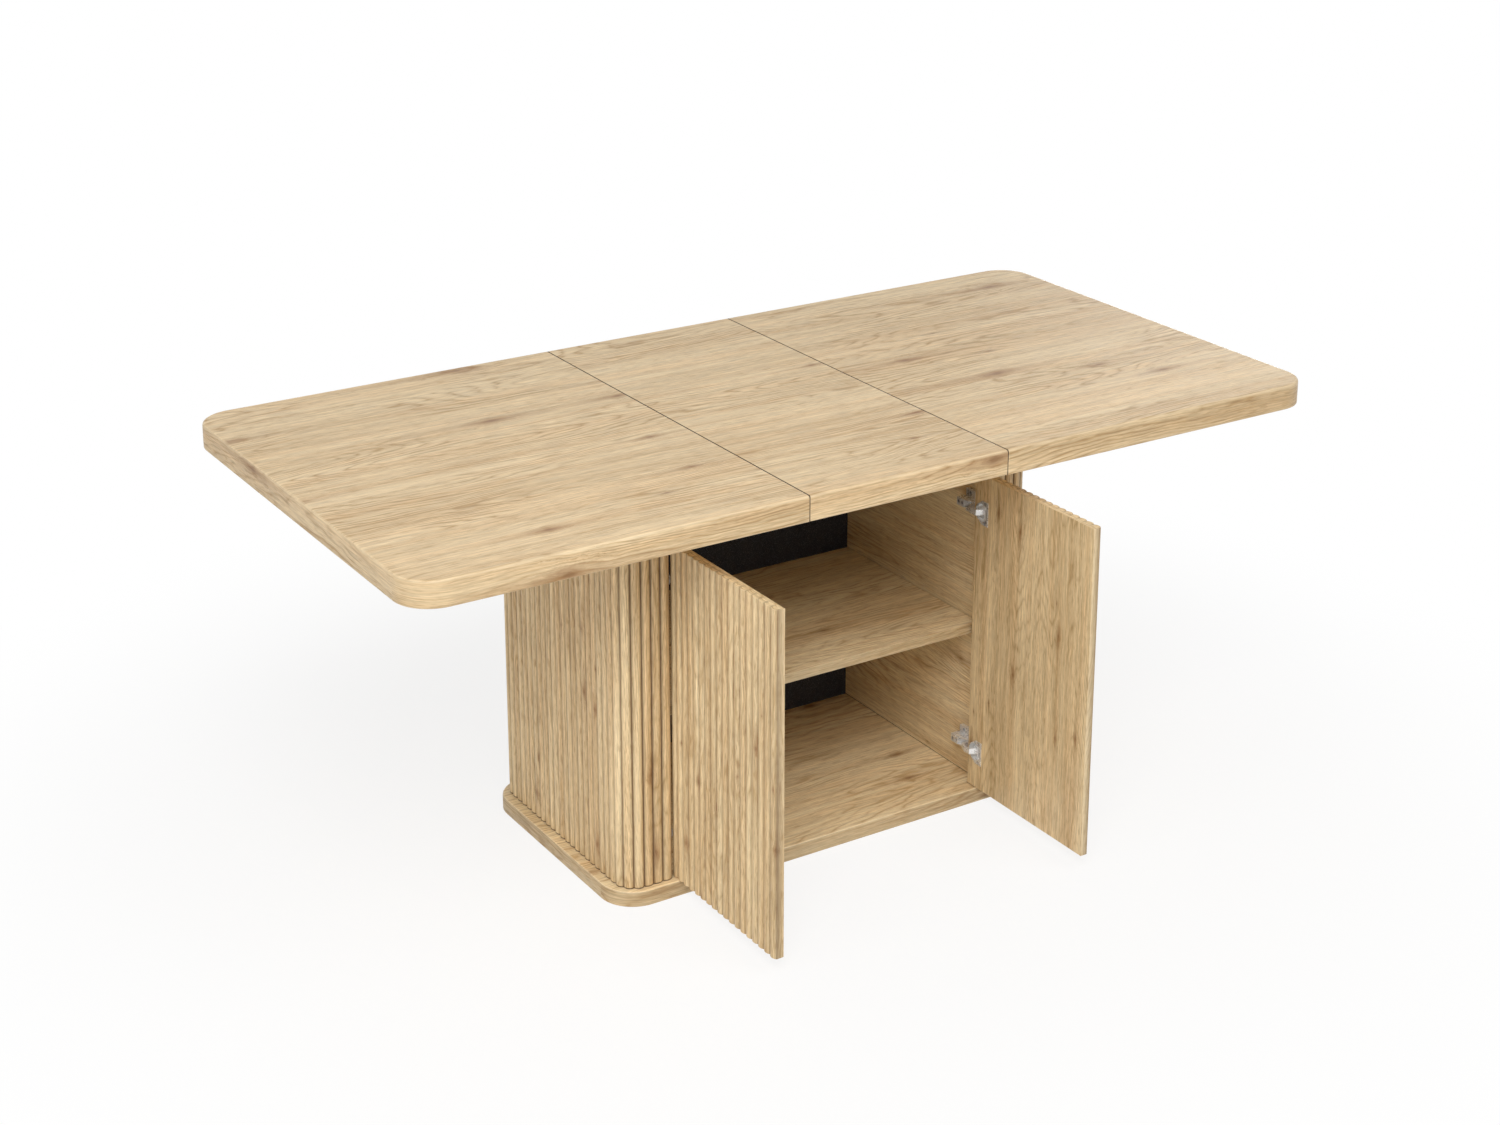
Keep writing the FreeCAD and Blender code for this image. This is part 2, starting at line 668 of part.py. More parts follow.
# ---------------------------------------------------------------- fastener places
PANEL_SCREW_ROWS = ("-skin_y + panel_screw_inset", "0", "skin_y - panel_screw_inset")
PANEL_DOWEL_ROWS = ("-skin_y + panel_dowel_inset", "skin_y - panel_dowel_inset")
RIB_SCREW_ROWS = ("-skin_y / 2", "skin_y / 2")


def column_places(z, direction):
    """Board screws into the side panels and the ribs, on both sides."""
    places = []
    for sign in ("-", ""):
        for y in PANEL_SCREW_ROWS:
            places.append((f"{sign}panel_x {sign or '+'} panel_thickness / 2", y, z, direction))
        for y in RIB_SCREW_ROWS:
            places.append((f"{sign}rib_x {sign or '+'} rib_reach / 2", y, z, direction))
    return places


plinth_places = column_places("0", UP)
cap_places = column_places("cap_top", DOWN)

dowel = rod("dowel", "dowel_radius", "dowel_length", DOWN)
dowel_hole = rod("dowel_hole", "dowel_radius + fit_clearance",
                 "dowel_length + 2 * fit_clearance", DOWN)
dowel_places = []
dowel_hole_places = []
for level in ("plinth_thickness", "body_top"):
    for sign in ("-", ""):
        for y in PANEL_DOWEL_ROWS:
            x = f"{sign}panel_x {sign or '+'} panel_thickness / 2"
            dowel_places.append((x, y, f"{level} + dowel_length / 2", DOWN))
            dowel_hole_places.append((x, y, f"{level} + dowel_length / 2 + fit_clearance", DOWN))

# ---------------------------------------------------------------- plinth and cap
plinth = board("plinth_blank", "plinth_length", "plinth_width", "plinth_thickness")
place(plinth, "-plinth_length / 2", "-plinth_width / 2", "0")
round_edges(plinth, "corners", "plinth_radius", upright)
round_edges(plinth, "upper", "plinth_round", level_at(size("plinth_thickness")))
node("plinth_board", cut("plinth_board", plinth, [
    copies("plinth_screw_holes", board_screw_hole, plinth_places),
    copies("plinth_dowel_holes", dowel_hole, dowel_hole_places)]))

cap = board("cap_blank", "2 * cap_half_length", "2 * cap_half_width", "cap_thickness")
place(cap, "-cap_half_length", "-cap_half_width", "body_top")
round_edges(cap, "corners", "cap_radius", upright)
node("cabinet_cap", cut("cabinet_cap", cap, [
    copies("cap_screw_holes", short_screw_hole, cap_places),
    copies("cap_dowel_holes", dowel_hole, dowel_hole_places),
    copies("cap_track_holes", small_screw_hole, track_screw_places)]))

# ---------------------------------------------------------------- cabinet body
skin = fluted_end("right_skin")
both_sides("fluted_end", place(skin, z="plinth_thickness"))

HINGE_LEVELS = {"lower": "lower_hinge_z", "upper": "upper_hinge_z"}
plate_places = []
arm_places = []
for z in HINGE_LEVELS.values():
    for sign in ("-", "+"):
        z_screw = f"{z} {sign} ( hinge_plate_height / 2 - plate_screw_inset )"
        plate_places.append(("plate_x", "plate_y", z_screw, RIGHT))
        y_screw = f"arm_screw_y {sign} arm_screw_spacing / 2"
        arm_places.append(("arm_face_x", y_screw, z, RIGHT))

pin = rod("shelf_pin", "pin_radius", "pin_length", DOWN)
pin_hole = rod("shelf_pin_hole", "pin_radius + fit_clearance",
               "pin_length + 2 * fit_clearance", DOWN)
pin_places = []
pin_hole_places = []
for y in ("shelf_front + pin_inset", "shelf_back - pin_inset"):
    x = "panel_x + pin_depth - pin_length"
    pin_places.append((x, y, "shelf_base - pin_radius", RIGHT))
    pin_hole_places.append((x + " - fit_clearance", y, "shelf_base - pin_radius", RIGHT))

panel = block("panel_blank", "panel_thickness", "2 * skin_y", "body_height")
place(panel, "panel_x", "-skin_y", "plinth_thickness")
side_panel = cut("side_panel", panel, [
    copies("panel_base_screw_holes", board_screw_hole, plinth_places),
    copies("panel_cap_screw_holes", short_screw_hole, cap_places),
    copies("panel_dowel_holes", dowel_hole, dowel_hole_places),
    copies("panel_pin_holes", pin_hole, pin_hole_places),
    copies("panel_plate_holes", plate_screw_hole, plate_places)])
both_sides("side_panel", side_panel)

right_pins = copies("right_pins", pin, pin_places)
node("shelf_pins", group("shelf_pins", [right_pins, mirrored("left_pins", right_pins)]))
node("plinth_screws", copies("plinth_screws", board_screw, plinth_places))
node("cap_screws", copies("cap_screws", short_screw, cap_places))
node("panel_dowels", copies("panel_dowels", dowel, dowel_places))

RIBS = (("lower_rib", "plinth_thickness"),
        ("middle_rib", "(plinth_thickness + body_top - panel_thickness) / 2"),
        ("upper_rib", "body_top - panel_thickness"))
for label, z in RIBS:
    rib = board(label + "_blank", "rib_reach", "rib_depth", "panel_thickness")
    place(rib, "rib_x", "-rib_depth / 2", z)
    round_edges(rib, "corners", "rib_radius", lambda box: upright(box) and box.XMax > SHORTEST_EDGE)
    screw_holes = [copies(label + "_base_holes", board_screw_hole, plinth_places),
                   copies(label + "_cap_holes", short_screw_hole, cap_places)]
    both_sides(label, cut(label, rib, screw_holes))

lining = block("lining", "2 * panel_x - rib_clearance", "lining_thickness", "body_height")
place(lining, "-panel_x + rib_clearance / 2", "lining_y", "plinth_thickness")
node("back_lining", lining)

rear_width = 2 * (size("strip_edge") - size("rear_panel_gap"))
rear = fluted_board("rear_panel", rear_width, size("skin_thickness"),
                    int(size("rear_flutes")), "body_height")
rear.Placement.Rotation = FreeCAD.Rotation(V(0, 0, 1), 180)
place(rear, "strip_edge - rear_panel_gap", "half_width", "plinth_thickness")
node("rear_fluted_panel", rear)

rail_flutes = 2 * int(size("door_flutes"))
apron_width = size("door_meeting_gap") + 2 * size("door_width")
apron = fluted_board("apron", apron_width, size("door_thickness"), rail_flutes,
                     "head_rail_height")
place(apron, "-door_meeting_gap / 2 - door_width", "-half_width", "rail_base")
node("fluted_head_rail", apron)

batten = block("head_batten", "2 * panel_x", "door_thickness", "head_rail_height")
node("head_batten", place(batten, "-panel_x", "closed_face_y", "rail_base"))

shelf = block("shelf", "2 * panel_x - 2 * shelf_end_gap", "shelf_back - shelf_front",
              "shelf_thickness")
node("shelf", place(shelf, "-panel_x + shelf_end_gap", "shelf_front", "shelf_base"))

# ---------------------------------------------------------------- doors
cup_screw_places = []
for z in HINGE_LEVELS.values():
    for sign in ("-", "+"):
        cup_screw_places.append(("open_face_x - arm_sheet", "flange_y",
                                 f"{z} {sign} cup_screw_offset", RIGHT))

leaf = fluted_board("door_leaf", size("door_width"), size("door_thickness"),
                    int(size("door_flutes")), "door_height")
leaf.Placement.Rotation = FreeCAD.Rotation(V(0, 0, 1), 90)
place(leaf, "open_face_x + door_thickness", "open_edge_y - door_width", "door_base")
cup_bores = []
for level_name, z in HINGE_LEVELS.items():
    bore = rod(level_name + "_cup_bore", "cup_radius + cup_clearance",
               "cup_depth + cup_clearance", RIGHT)
    cup_bores.append(place(bore, "open_face_x", "cup_y", z))
right_door = cut("door", leaf, cup_bores + [
    copies("door_screw_holes", small_screw_hole, cup_screw_places)])
both_sides("door", right_door)

# ---------------------------------------------------------------- hinges
# Bends of the gooseneck link, from the open door's hinge corner and in parts of
# the link's stand-off: out of the arm, round the corner and back towards the cup.
LINK_BENDS = ((-0.6, 1.0), (-1.0, -0.1), (-0.9, -1.5))


def arm_outline():
    """The side walls of the arm from above: tail at +Y, nose round the link pin."""
    root = size("plate_x") - size("arm_wall_gap")
    face = size("arm_face_x")
    tail = size("arm_tail_y")
    web = size("arm_web_y")
    nose = V(size("nose_x"), size("nose_y"))
    radius = size("nose_radius")
    corners = [V(nose.x + radius, nose.y), V(root, web), V(root, tail), V(face, tail),
               V(face, web), V(nose.x - radius, nose.y)]
    return polyline(corners) + [arc_through(corners[-1], nose - V(0, radius), corners[0])]


def flange_outline():
    """The wings of the cup flange seen along +X, the cup centred on 0, 0."""
    rim = size("cup_radius") + size("cup_rim")
    near = size("flange_width") - rim
    tall = size("flange_height") / 2
    shoulder = rim / math.sqrt(2)
    points = [V(-rim, -tall), V(near, -tall), V(shoulder, -shoulder), V(shoulder, shoulder),
              V(near, tall), V(-rim, tall), V(-rim, -tall)]
    return polyline(points)


def link_shape():
    """The gooseneck link from its pin at 0, 0: straight runs, round bends, an eye."""
    half = size("link_thickness") / 2
    tall = size("link_width")
    pin = V(0, 0, 0)
    hinge_corner = V(size("open_face_x"), size("open_edge_y")) - V(size("nose_x"), size("nose_y"))
    bends = [hinge_corner + V(x, y) * size("link_standoff") for x, y in LINK_BENDS]
    bends.append(V(size("cup_pin_x"), size("cup_y")) - V(size("nose_x"), size("nose_y")))
    eye = Part.makeCylinder(size("link_pin_radius") + half, tall, pin)
    pieces = []
    start = pin
    for end in bends:
        run = end - start
        bar = Part.makeBox(run.Length, 2 * half, tall, V(0, -half, 0))
        bar.rotate(V(0, 0, 0), V(0, 0, 1), math.degrees(math.atan2(run.y, run.x)))
        bar.translate(start)
        pieces += [bar, Part.makeCylinder(half, tall, end)]
        start = end
    bore = Part.makeCylinder(size("link_pin_radius") + size("fit_clearance"), tall, pin)
    return eye.fuse(pieces).removeSplitter().cut(bore)


def cup_shape(name, z):
    """A hollow cup with its flange on the door's inner face and bores for its pin."""
    shell = rod(name + "_cup", "cup_radius", "cup_depth", RIGHT)
    rim = rod(name + "_rim", "cup_radius + cup_rim", "arm_sheet", RIGHT)
    wings = profile_body(name + "_wings", flange_outline(), "arm_sheet", "YZ_Plane")
    bowl = rod(name + "_bowl", "cup_radius - cup_wall", "cup_depth - cup_wall + arm_sheet", RIGHT)
    place(shell, "open_face_x", "cup_y", z)
    for item in (rim, wings, bowl):
        place(item, "open_face_x - arm_sheet", "cup_y", z)
    pin_bore = rod(name + "_cup_pin_bore", "link_pin_radius + fit_clearance",
                   "cup_pin_length + 2 * fit_clearance")
    place(pin_bore, "cup_pin_x", "cup_pin_y", f"{z} - cup_pin_length / 2 - fit_clearance")
    blank = fuse(name + "_cup_blank", [shell, rim, wings])
    screw_holes = copies(name + "_cup_holes", small_screw_hole, cup_screw_places)
    return cut(name + "_cup_hollow", blank, [bowl, pin_bore, screw_holes])


def plate_shape(name, z):
    """The mounting plate on the side panel, with the saddle that fills the arm."""
    wing = block(name + "_wing", "hinge_plate_thickness", "hinge_plate_width",
                 "hinge_plate_height")
    place(wing, "plate_x", "plate_y - hinge_plate_width / 2", f"{z} - hinge_plate_height / 2")
    saddle = block(name + "_saddle", "plate_x - arm_face_x - arm_sheet",
                   "arm_tail_y - arm_web_y - arm_wall_gap",
                   "arm_width - 2 * arm_sheet - 2 * arm_wall_gap")
    place(saddle, "arm_face_x + arm_sheet", "arm_web_y + arm_wall_gap",
          f"{z} - arm_width / 2 + arm_sheet + arm_wall_gap")
    blank = fuse(name + "_plate_blank", [wing, saddle])
    return cut(name + "_plate", blank, [
        copies(name + "_wing_holes", plate_screw_hole, plate_places),
        copies(name + "_saddle_holes", small_screw_hole, arm_places)])


def arm_shape(name, z):
    """The folded arm: two side walls, joined by a web behind the sweep of the link."""
    walls = profile_body(name + "_arm_walls", arm_outline(), "arm_width")
    place(walls, z=f"{z} - arm_width / 2")
    channel = block(name + "_channel", "2 * arm_reach", "2 * arm_length",
                    "arm_width - 2 * arm_sheet")
    place(channel, "arm_face_x + arm_sheet", "arm_tail_y - arm_length",
          f"{z} - arm_width / 2 + arm_sheet")
    mouth = block(name + "_mouth", "2 * arm_reach", "arm_length", "arm_width - 2 * arm_sheet")
    place(mouth, "arm_face_x - arm_reach", "arm_web_y - arm_length",
          f"{z} - arm_width / 2 + arm_sheet")
    pin_bore = rod(name + "_pin_bore", "link_pin_radius + fit_clearance", "arm_width")
    place(pin_bore, "nose_x", "nose_y", f"{z} - arm_width / 2")
    screw_holes = copies(name + "_arm_holes", small_screw_hole, arm_places)
    return cut(name + "_arm", walls, [channel, mouth, pin_bore, screw_holes])


hinge_pieces = {kind: [] for kind in ("cups", "cup_pins", "plates", "arms", "pins", "links")}
for level_name, z in HINGE_LEVELS.items():
    name = level_name + "_hinge"
    link_pin = rod(name + "_link_pin", "link_pin_radius", "arm_width")
    place(link_pin, "nose_x", "nose_y", f"{z} - arm_width / 2")
    cup_pin = rod(name + "_cup_pin", "link_pin_radius", "cup_pin_length")
    place(cup_pin, "cup_pin_x", "cup_pin_y", f"{z} - cup_pin_length / 2")
    link = doc.addObject("Part::Feature", name + "_link")
    link.Shape = link_shape()
    place(link, "nose_x", "nose_y", f"{z} - link_width / 2")
    hinge_pieces["cups"].append(cup_shape(name, z))
    hinge_pieces["cup_pins"].append(cup_pin)
    hinge_pieces["plates"].append(plate_shape(name, z))
    hinge_pieces["arms"].append(arm_shape(name, z))
    hinge_pieces["pins"].append(link_pin)
    hinge_pieces["links"].append(link)

for kind, pieces in hinge_pieces.items():
    both_sides("hinge_" + kind, group("hinge_" + kind, pieces))
both_sides("cup_screws", copies("cup_screws", small_screw, cup_screw_places))
both_sides("plate_screws", copies("plate_screws", plate_screw, plate_places))
both_sides("arm_screws", copies("arm_screws", small_screw, arm_places))

# ---------------------------------------------------------------- checks and export
doc.recompute()
for item in doc.Objects:
    if "Invalid" in item.State or "Error" in item.State:
        raise RuntimeError(f"{item.Label} failed: {item.State}")
for label, item in nodes.items():
    shape = item.Shape
    if shape.isNull() or not shape.isValid() or not shape.Solids:
        raise RuntimeError(f"{label} has no valid solid")

os.makedirs("parts", exist_ok=True)
for label, item in nodes.items():
    item.Shape.exportStep(f"parts/{label}.step")
print(len(nodes), "pieces written")
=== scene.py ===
# %% [markdown]
# # A dining table on a fluted storage cabinet
# The table is a long oak-faced top in three boards, on a cabinet whose ends, doors and back
# are clad in upright flutes. The construction is already drawn to size in CAD. This lesson
# dresses it: boards with softly rounded edges, real flutes, bright hinges and an oak finish.
# First the drawn model is loaded. It is in metres, with the floor at z = 0.

# %% Load the drawn model
import json
import math

import bmesh
import bpy
from mathutils import Matrix, Vector


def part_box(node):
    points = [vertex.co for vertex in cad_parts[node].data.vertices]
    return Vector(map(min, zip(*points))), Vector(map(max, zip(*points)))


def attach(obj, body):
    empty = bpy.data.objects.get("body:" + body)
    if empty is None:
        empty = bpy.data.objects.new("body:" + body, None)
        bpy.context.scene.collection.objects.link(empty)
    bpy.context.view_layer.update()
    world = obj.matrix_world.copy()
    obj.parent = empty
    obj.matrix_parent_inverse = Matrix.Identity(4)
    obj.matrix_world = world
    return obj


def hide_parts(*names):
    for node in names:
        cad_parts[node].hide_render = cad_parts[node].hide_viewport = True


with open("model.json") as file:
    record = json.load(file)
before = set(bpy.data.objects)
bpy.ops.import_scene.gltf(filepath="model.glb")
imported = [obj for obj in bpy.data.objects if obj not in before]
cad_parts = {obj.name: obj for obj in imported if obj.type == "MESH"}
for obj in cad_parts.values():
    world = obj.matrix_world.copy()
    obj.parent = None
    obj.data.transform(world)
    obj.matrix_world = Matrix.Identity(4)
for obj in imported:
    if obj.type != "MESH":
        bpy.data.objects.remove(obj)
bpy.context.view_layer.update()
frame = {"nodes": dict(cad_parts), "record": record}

MM = 0.001
NODES = frame["nodes"]
BODY_OF = {node: body
           for body, nodes in frame["record"]["behaviour"]["bodies"].items() for node in nodes}

# %% [markdown]
# ## The camera
# A camera is settled before any piece, so that every test picture can be judged. It stands
# at the front left, above head height, and looks down on the top. Its lens is long, about
# 60 mm on a 36 mm sensor, so the long top is hardly distorted. The optical axis lies above
# the middle of the picture, and `shift_y` says by how much. The camera then tilts less, and
# the upright edges stay closer to parallel.

# %% Camera
PICTURE_WIDTH, PICTURE_HEIGHT = 1500, 1125      # pixels
FOCAL_LENGTH = 2519.25                          # in the same pixels
OPTICAL_AXIS_ROW = 320.96                       # from the upper edge
CAMERA_PLACE = (-2.29282, -3.58743, 2.22845)
CAMERA_YAW = 0.562739                           # radians, towards +X
CAMERA_PITCH = 0.297494                         # radians, down

camera_data = bpy.data.cameras.new("camera")
camera_data.sensor_fit = "HORIZONTAL"
camera_data.sensor_width = 36.0
camera_data.lens = FOCAL_LENGTH / PICTURE_WIDTH * camera_data.sensor_width
camera_data.shift_y = (OPTICAL_AXIS_ROW - PICTURE_HEIGHT / 2) / PICTURE_WIDTH
camera = bpy.data.objects.new("camera", camera_data)
camera.location = CAMERA_PLACE
camera.rotation_euler = (math.pi / 2 - CAMERA_PITCH, 0.0, -CAMERA_YAW)
bpy.context.scene.collection.objects.link(camera)
bpy.context.scene.camera = camera
bpy.context.scene.view_settings.view_transform = "Standard"
print("lens", round(camera_data.lens, 2), "mm")

# %% [markdown]
# ## Small helpers for node trees
# Materials and Geometry Nodes are both trees of nodes. `Graph` adds a node, sets its
# options and joins its sockets in one call, so that the recipes below read as formulas.
# A value that is a socket is joined, and anything else is written into the socket. The
# sums that come up most have methods of their own.

# %% A helper that builds node trees
class Graph:
    def __init__(self, tree):
        self.tree = tree

    def feed(self, socket, value):
        if isinstance(value, bpy.types.NodeSocket):
            self.tree.links.new(value, socket)
        elif value is not None:
            socket.default_value = value

    def add(self, kind, *values, **options):
        """Adds a node; the values go into its sockets in their order, None skips one."""
        node = self.tree.nodes.new(kind)
        for option, setting in options.items():
            setattr(node, option, setting)
        for socket, value in zip(node.inputs, values):
            self.feed(socket, value)
        return node

    def wire(self, node, **values):
        """Feeds sockets by their names, in which an underscore stands for a space."""
        for label, value in values.items():
            self.feed(node.inputs[label.replace("_", " ")], value)
        return node

    def math(self, operation, a, b=None, c=None, clamp=False):
        return self.add("ShaderNodeMath", a, b, c, operation=operation, use_clamp=clamp).outputs[0]

    def plus(self, a, b):
        return self.math("ADD", a, b)

    def minus(self, a, b):
        return self.math("SUBTRACT", a, b)

    def times(self, a, b):
        return self.math("MULTIPLY", a, b)

    def over(self, a, b):
        return self.math("DIVIDE", a, b)

    def times_plus(self, a, b, c):
        """a times b, plus c."""
        return self.math("MULTIPLY_ADD", a, b, c)

    def unsigned(self, a):
        return self.math("ABSOLUTE", a)

    def vector(self, operation, a, b=None):
        node = self.add("ShaderNodeVectorMath", a, b, operation=operation)
        return node.outputs["Value" if operation == "LENGTH" else "Vector"]

    def scaled(self, vector, scale):
        node = self.add("ShaderNodeVectorMath", vector, operation="SCALE")
        return self.wire(node, Scale=scale).outputs[0]

    def combine(self, x, y, z=0.0):
        return self.add("ShaderNodeCombineXYZ", x, y, z).outputs[0]

    def split(self, vector):
        return self.add("ShaderNodeSeparateXYZ", vector).outputs

    def attribute(self, name, output="Fac"):
        return self.add("ShaderNodeAttribute", attribute_name=name).outputs[output]

    def ranged(self, value, low, high, to_low=0.0, to_high=1.0):
        """A smooth step from to_low to to_high while value goes from low to high."""
        node = self.add("ShaderNodeMapRange", value, low, high, to_low, to_high,
                        interpolation_type="SMOOTHSTEP")
        return node.outputs[0]

    def mix(self, share, a, b, blend="MIX"):
        """Mixes two colours."""
        node = self.add("ShaderNodeMix", data_type="RGBA", blend_type=blend)
        for socket, value in ((0, share), (6, a), (7, b)):
            self.feed(node.inputs[socket], value)
        return node.outputs[2]

    def noise(self, vector, scale=(1.0, 1.0, 1.0), detail=2.0, roughness=0.5, flat=True):
        """Noise on a stretched vector; flat noise has two dimensions only."""
        node = self.add("ShaderNodeTexNoise", noise_dimensions="2D" if flat else "3D")
        self.wire(node, Vector=self.vector("MULTIPLY", vector, scale), Scale=1.0,
                  Detail=detail, Roughness=roughness)
        return node.outputs[0]


def linear(red, green, blue):
    """A colour as a screen shows it, 0 to 255, as the linear values that Blender uses."""
    shares = [part / 255 for part in (red, green, blue)]
    parts = [share / 12.92 if share <= 0.04045 else ((share + 0.055) / 1.055) ** 2.4
             for share in shares]
    return (*parts, 1.0)


def new_group(name, kind, inputs, outputs):
    """A node group with named sockets: inputs are (type, name, default)."""
    tree = bpy.data.node_groups.new(name, kind)
    for socket_type, label, default in inputs:
        socket = tree.interface.new_socket(name=label, in_out="INPUT", socket_type=socket_type)
        if default is not None:
            socket.default_value = default
    for socket_type, label in outputs:
        tree.interface.new_socket(name=label, in_out="OUTPUT", socket_type=socket_type)
    graph = Graph(tree)
    return graph, graph.add("NodeGroupInput").outputs, graph.add("NodeGroupOutput").inputs


FLOAT, COLOUR, VECTOR = "NodeSocketFloat", "NodeSocketColor", "NodeSocketVector"

# %% [markdown]
# ## Oak grain, as one shared node group
# The boards are faced with light oak. Painting it by hand would fix its size and place, so
# it is built from layers of noise, each stretched along the grain: broad soft bands, growth
# lines, fine fibres and short dark pores. The growth lines are the contour lines of a
# smooth, stretched noise, which nests them into the arches of a flat-sawn board. A Voronoi
# texture places the knots: each is a slim spindle with a soft brown halo, and the lines
# part round it because the knot pushes the grain aside. Every oak finish uses this one
# group with values of its own. The grain runs along X of the vector that goes in. The
# distance to a knot is the mean of a pointed and a round one, which gives the spindle.

# %% The knots of the oak group
KNOT_CELLS = (4.4, 11.0, 1.0)         # cells in a metre along and across, a knot in some
KNOT_LENGTH, KNOT_BREADTH = 0.013, 0.0042
KNOT_LEAST, KNOT_SPREAD = 0.35, 1.1   # sizes of knots: from the first up to their sum
KNOT_UNEVEN = 2.2                     # how ragged the outline of a knot is
KNOT_CLOUD = (6.0, 9.0, 1.0)          # cells of that raggedness in one cell of knots
TRAIL = 0.2                           # a length along the streak counts as this share of it


def knot_field(graph, grain, odds, scale):
    """Distances in knot sizes: from the knot, from the streak through it, and beside it."""
    scaled = graph.vector("DIVIDE", grain, graph.combine(scale, scale, scale))
    cells = graph.vector("MULTIPLY", scaled, KNOT_CELLS)
    voronoi = graph.add("ShaderNodeTexVoronoi", voronoi_dimensions="2D", feature="F1")
    graph.wire(voronoi, Vector=cells, Scale=1.0)
    offset = graph.vector("SUBTRACT", cells, voronoi.outputs["Position"])
    to_knots = (1 / (KNOT_CELLS[0] * KNOT_LENGTH), 1 / (KNOT_CELLS[1] * KNOT_BREADTH), 0.0)
    offset = graph.vector("MULTIPLY", offset, to_knots)
    lottery = graph.split(voronoi.outputs["Color"])
    size = graph.times_plus(lottery[0], KNOT_SPREAD, KNOT_LEAST)
    along, across, _ = graph.split(offset)
    pointed = graph.plus(graph.unsigned(along), graph.unsigned(across))
    rounded = graph.vector("LENGTH", offset)
    reach = graph.over(graph.times(graph.plus(pointed, rounded), 0.5), size)
    cloudy = graph.minus(graph.noise(cells, KNOT_CLOUD, 4.0, 0.7), 0.5)
    reach = graph.times_plus(graph.times(cloudy, reach), KNOT_UNEVEN, reach)
    trail = graph.vector("LENGTH", graph.combine(graph.times(along, TRAIL), across))
    drawn = graph.math("LESS_THAN", lottery[1], odds)
    return reach, graph.over(trail, size), graph.over(across, size), drawn


# %% [markdown]
# Each layer of the pattern is a noise with cells of its own, long along the grain and narrow
# across it. The first table gives the count of cells in a metre along and across, then the
# detail and the roughness of the noise. The second says at which noise values a layer goes
# from none to full, and where two more numbers follow, its least and its full strength.
# These numbers had to be found by trial.

# %% The layers of the oak pattern
LAYERS = {
    "wander": (1.1, 2.4, 2.0, 0.5),       # slow bends of the grain
    "ripple": (7.0, 26.0, 1.0, 0.5),      # small bends of the grain
    "broad": (0.6, 8.0, 3.0, 0.55),       # soft bands, about a hand wide
    "bands": (1.4, 40.0, 4.0, 0.65),      # narrow bands
    "lines": (3.0, 210.0, 3.0, 0.7),      # fine lines
    "hills": (0.9, 7.0, 1.0, 0.5),        # the hills whose contours are the growth lines
    "jitter": (14.0, 60.0, 1.0, 0.5),     # unevenness of the growth lines
    "broken": (9.0, 110.0, 2.0, 0.5),     # where a growth line fades for a while
    "patches": (1.8, 6.0, 2.0, 0.5),      # where growth lines show at all
    "fibre": (16.0, 360.0, 3.0, 0.7),     # fibres
    "pores": (36.0, 560.0, 1.0, 0.5),     # short dark dashes
    "tint": (0.9, 28.0, 2.0, 0.5),        # bands with another tint
}
CONTRAST = {
    "broad": (0.34, 0.66), "bands": (0.34, 0.66), "lines": (0.34, 0.66),
    "broken": (0.3, 0.6, 0.3, 1.0), "patches": (0.4, 0.56, 0.1, 1.0),
    "fibre": (0.3, 0.7), "pores": (0.54, 0.68), "tint": (0.4, 0.7),
}
BROAD_SHARE, BANDS_SHARE, LINES_SHARE = 0.36, 0.32, 0.32
PORES_LEAST = 0.4                     # share of the pores in the palest bands
WANDER, RIPPLE = 0.03, 0.007          # metres that the grain bends to the side
KNOT_PUSH = 0.0016                    # metres that a knot pushes the lines aside
CONTOURS = 30.0                       # growth lines from the lowest to the highest hill
# A mask is full inside its first distance, in knot sizes, and has faded out at the second.
KNOT_MASKS = (("core", 0.2, 0.9), ("spindle", 0.4, 2.4), ("halo", 0.6, 4.0))
TRAIL_MASK = (0.2, 2.2)
GROWTH_SHARPNESS = 3.0                # higher means thinner growth lines
RINGS = 8.0                           # rings round a knot, radians in one knot size
KNOT_STAINS = (("trail", 0.26), ("halo", 0.2), ("rings", 0.16), ("spindle", 0.45))
CORE_STAIN, CORE_SHADE = 0.5, (0.6, 0.5, 0.4, 1.0)   # share and colour factor of the core
ROUGH, FIBRE_ROUGH, PORE_ROUGH = 0.4, 0.08, 0.35     # of the lacquer, fibres and pores
FIBRE_HEIGHT, PORE_DEPTH = 0.3, 0.8                  # of the bump's full height


def layer(graph, name, vector):
    along, across, detail, roughness = LAYERS[name]
    return graph.noise(vector, (along, across, 1.0), detail, roughness)


def contrasted(graph, name, vector):
    """A layer as a share, from none to full."""
    return graph.ranged(layer(graph, name, vector), *CONTRAST[name])


# %% Knot marks, bends and growth lines
def knot_marks(graph, given):
    """How strongly each part of a knot shows, and how far it parts the grain."""
    reach, trail, beside, drawn = knot_field(graph, given["Grain"], given["Knots"],
                                             given["Knot scale"])
    mask = {name: graph.times(graph.ranged(reach, near, far, 1.0, 0.0), drawn)
            for name, near, far in KNOT_MASKS}
    mask["trail"] = graph.times(graph.ranged(trail, *TRAIL_MASK, 1.0, 0.0), drawn)
    rings = graph.ranged(graph.math("SINE", graph.times(reach, RINGS)), 0.0, 1.0)
    mask["rings"] = graph.times(rings, mask["halo"])
    return mask, graph.times(graph.times(beside, mask["halo"]), given["Knot scale"])


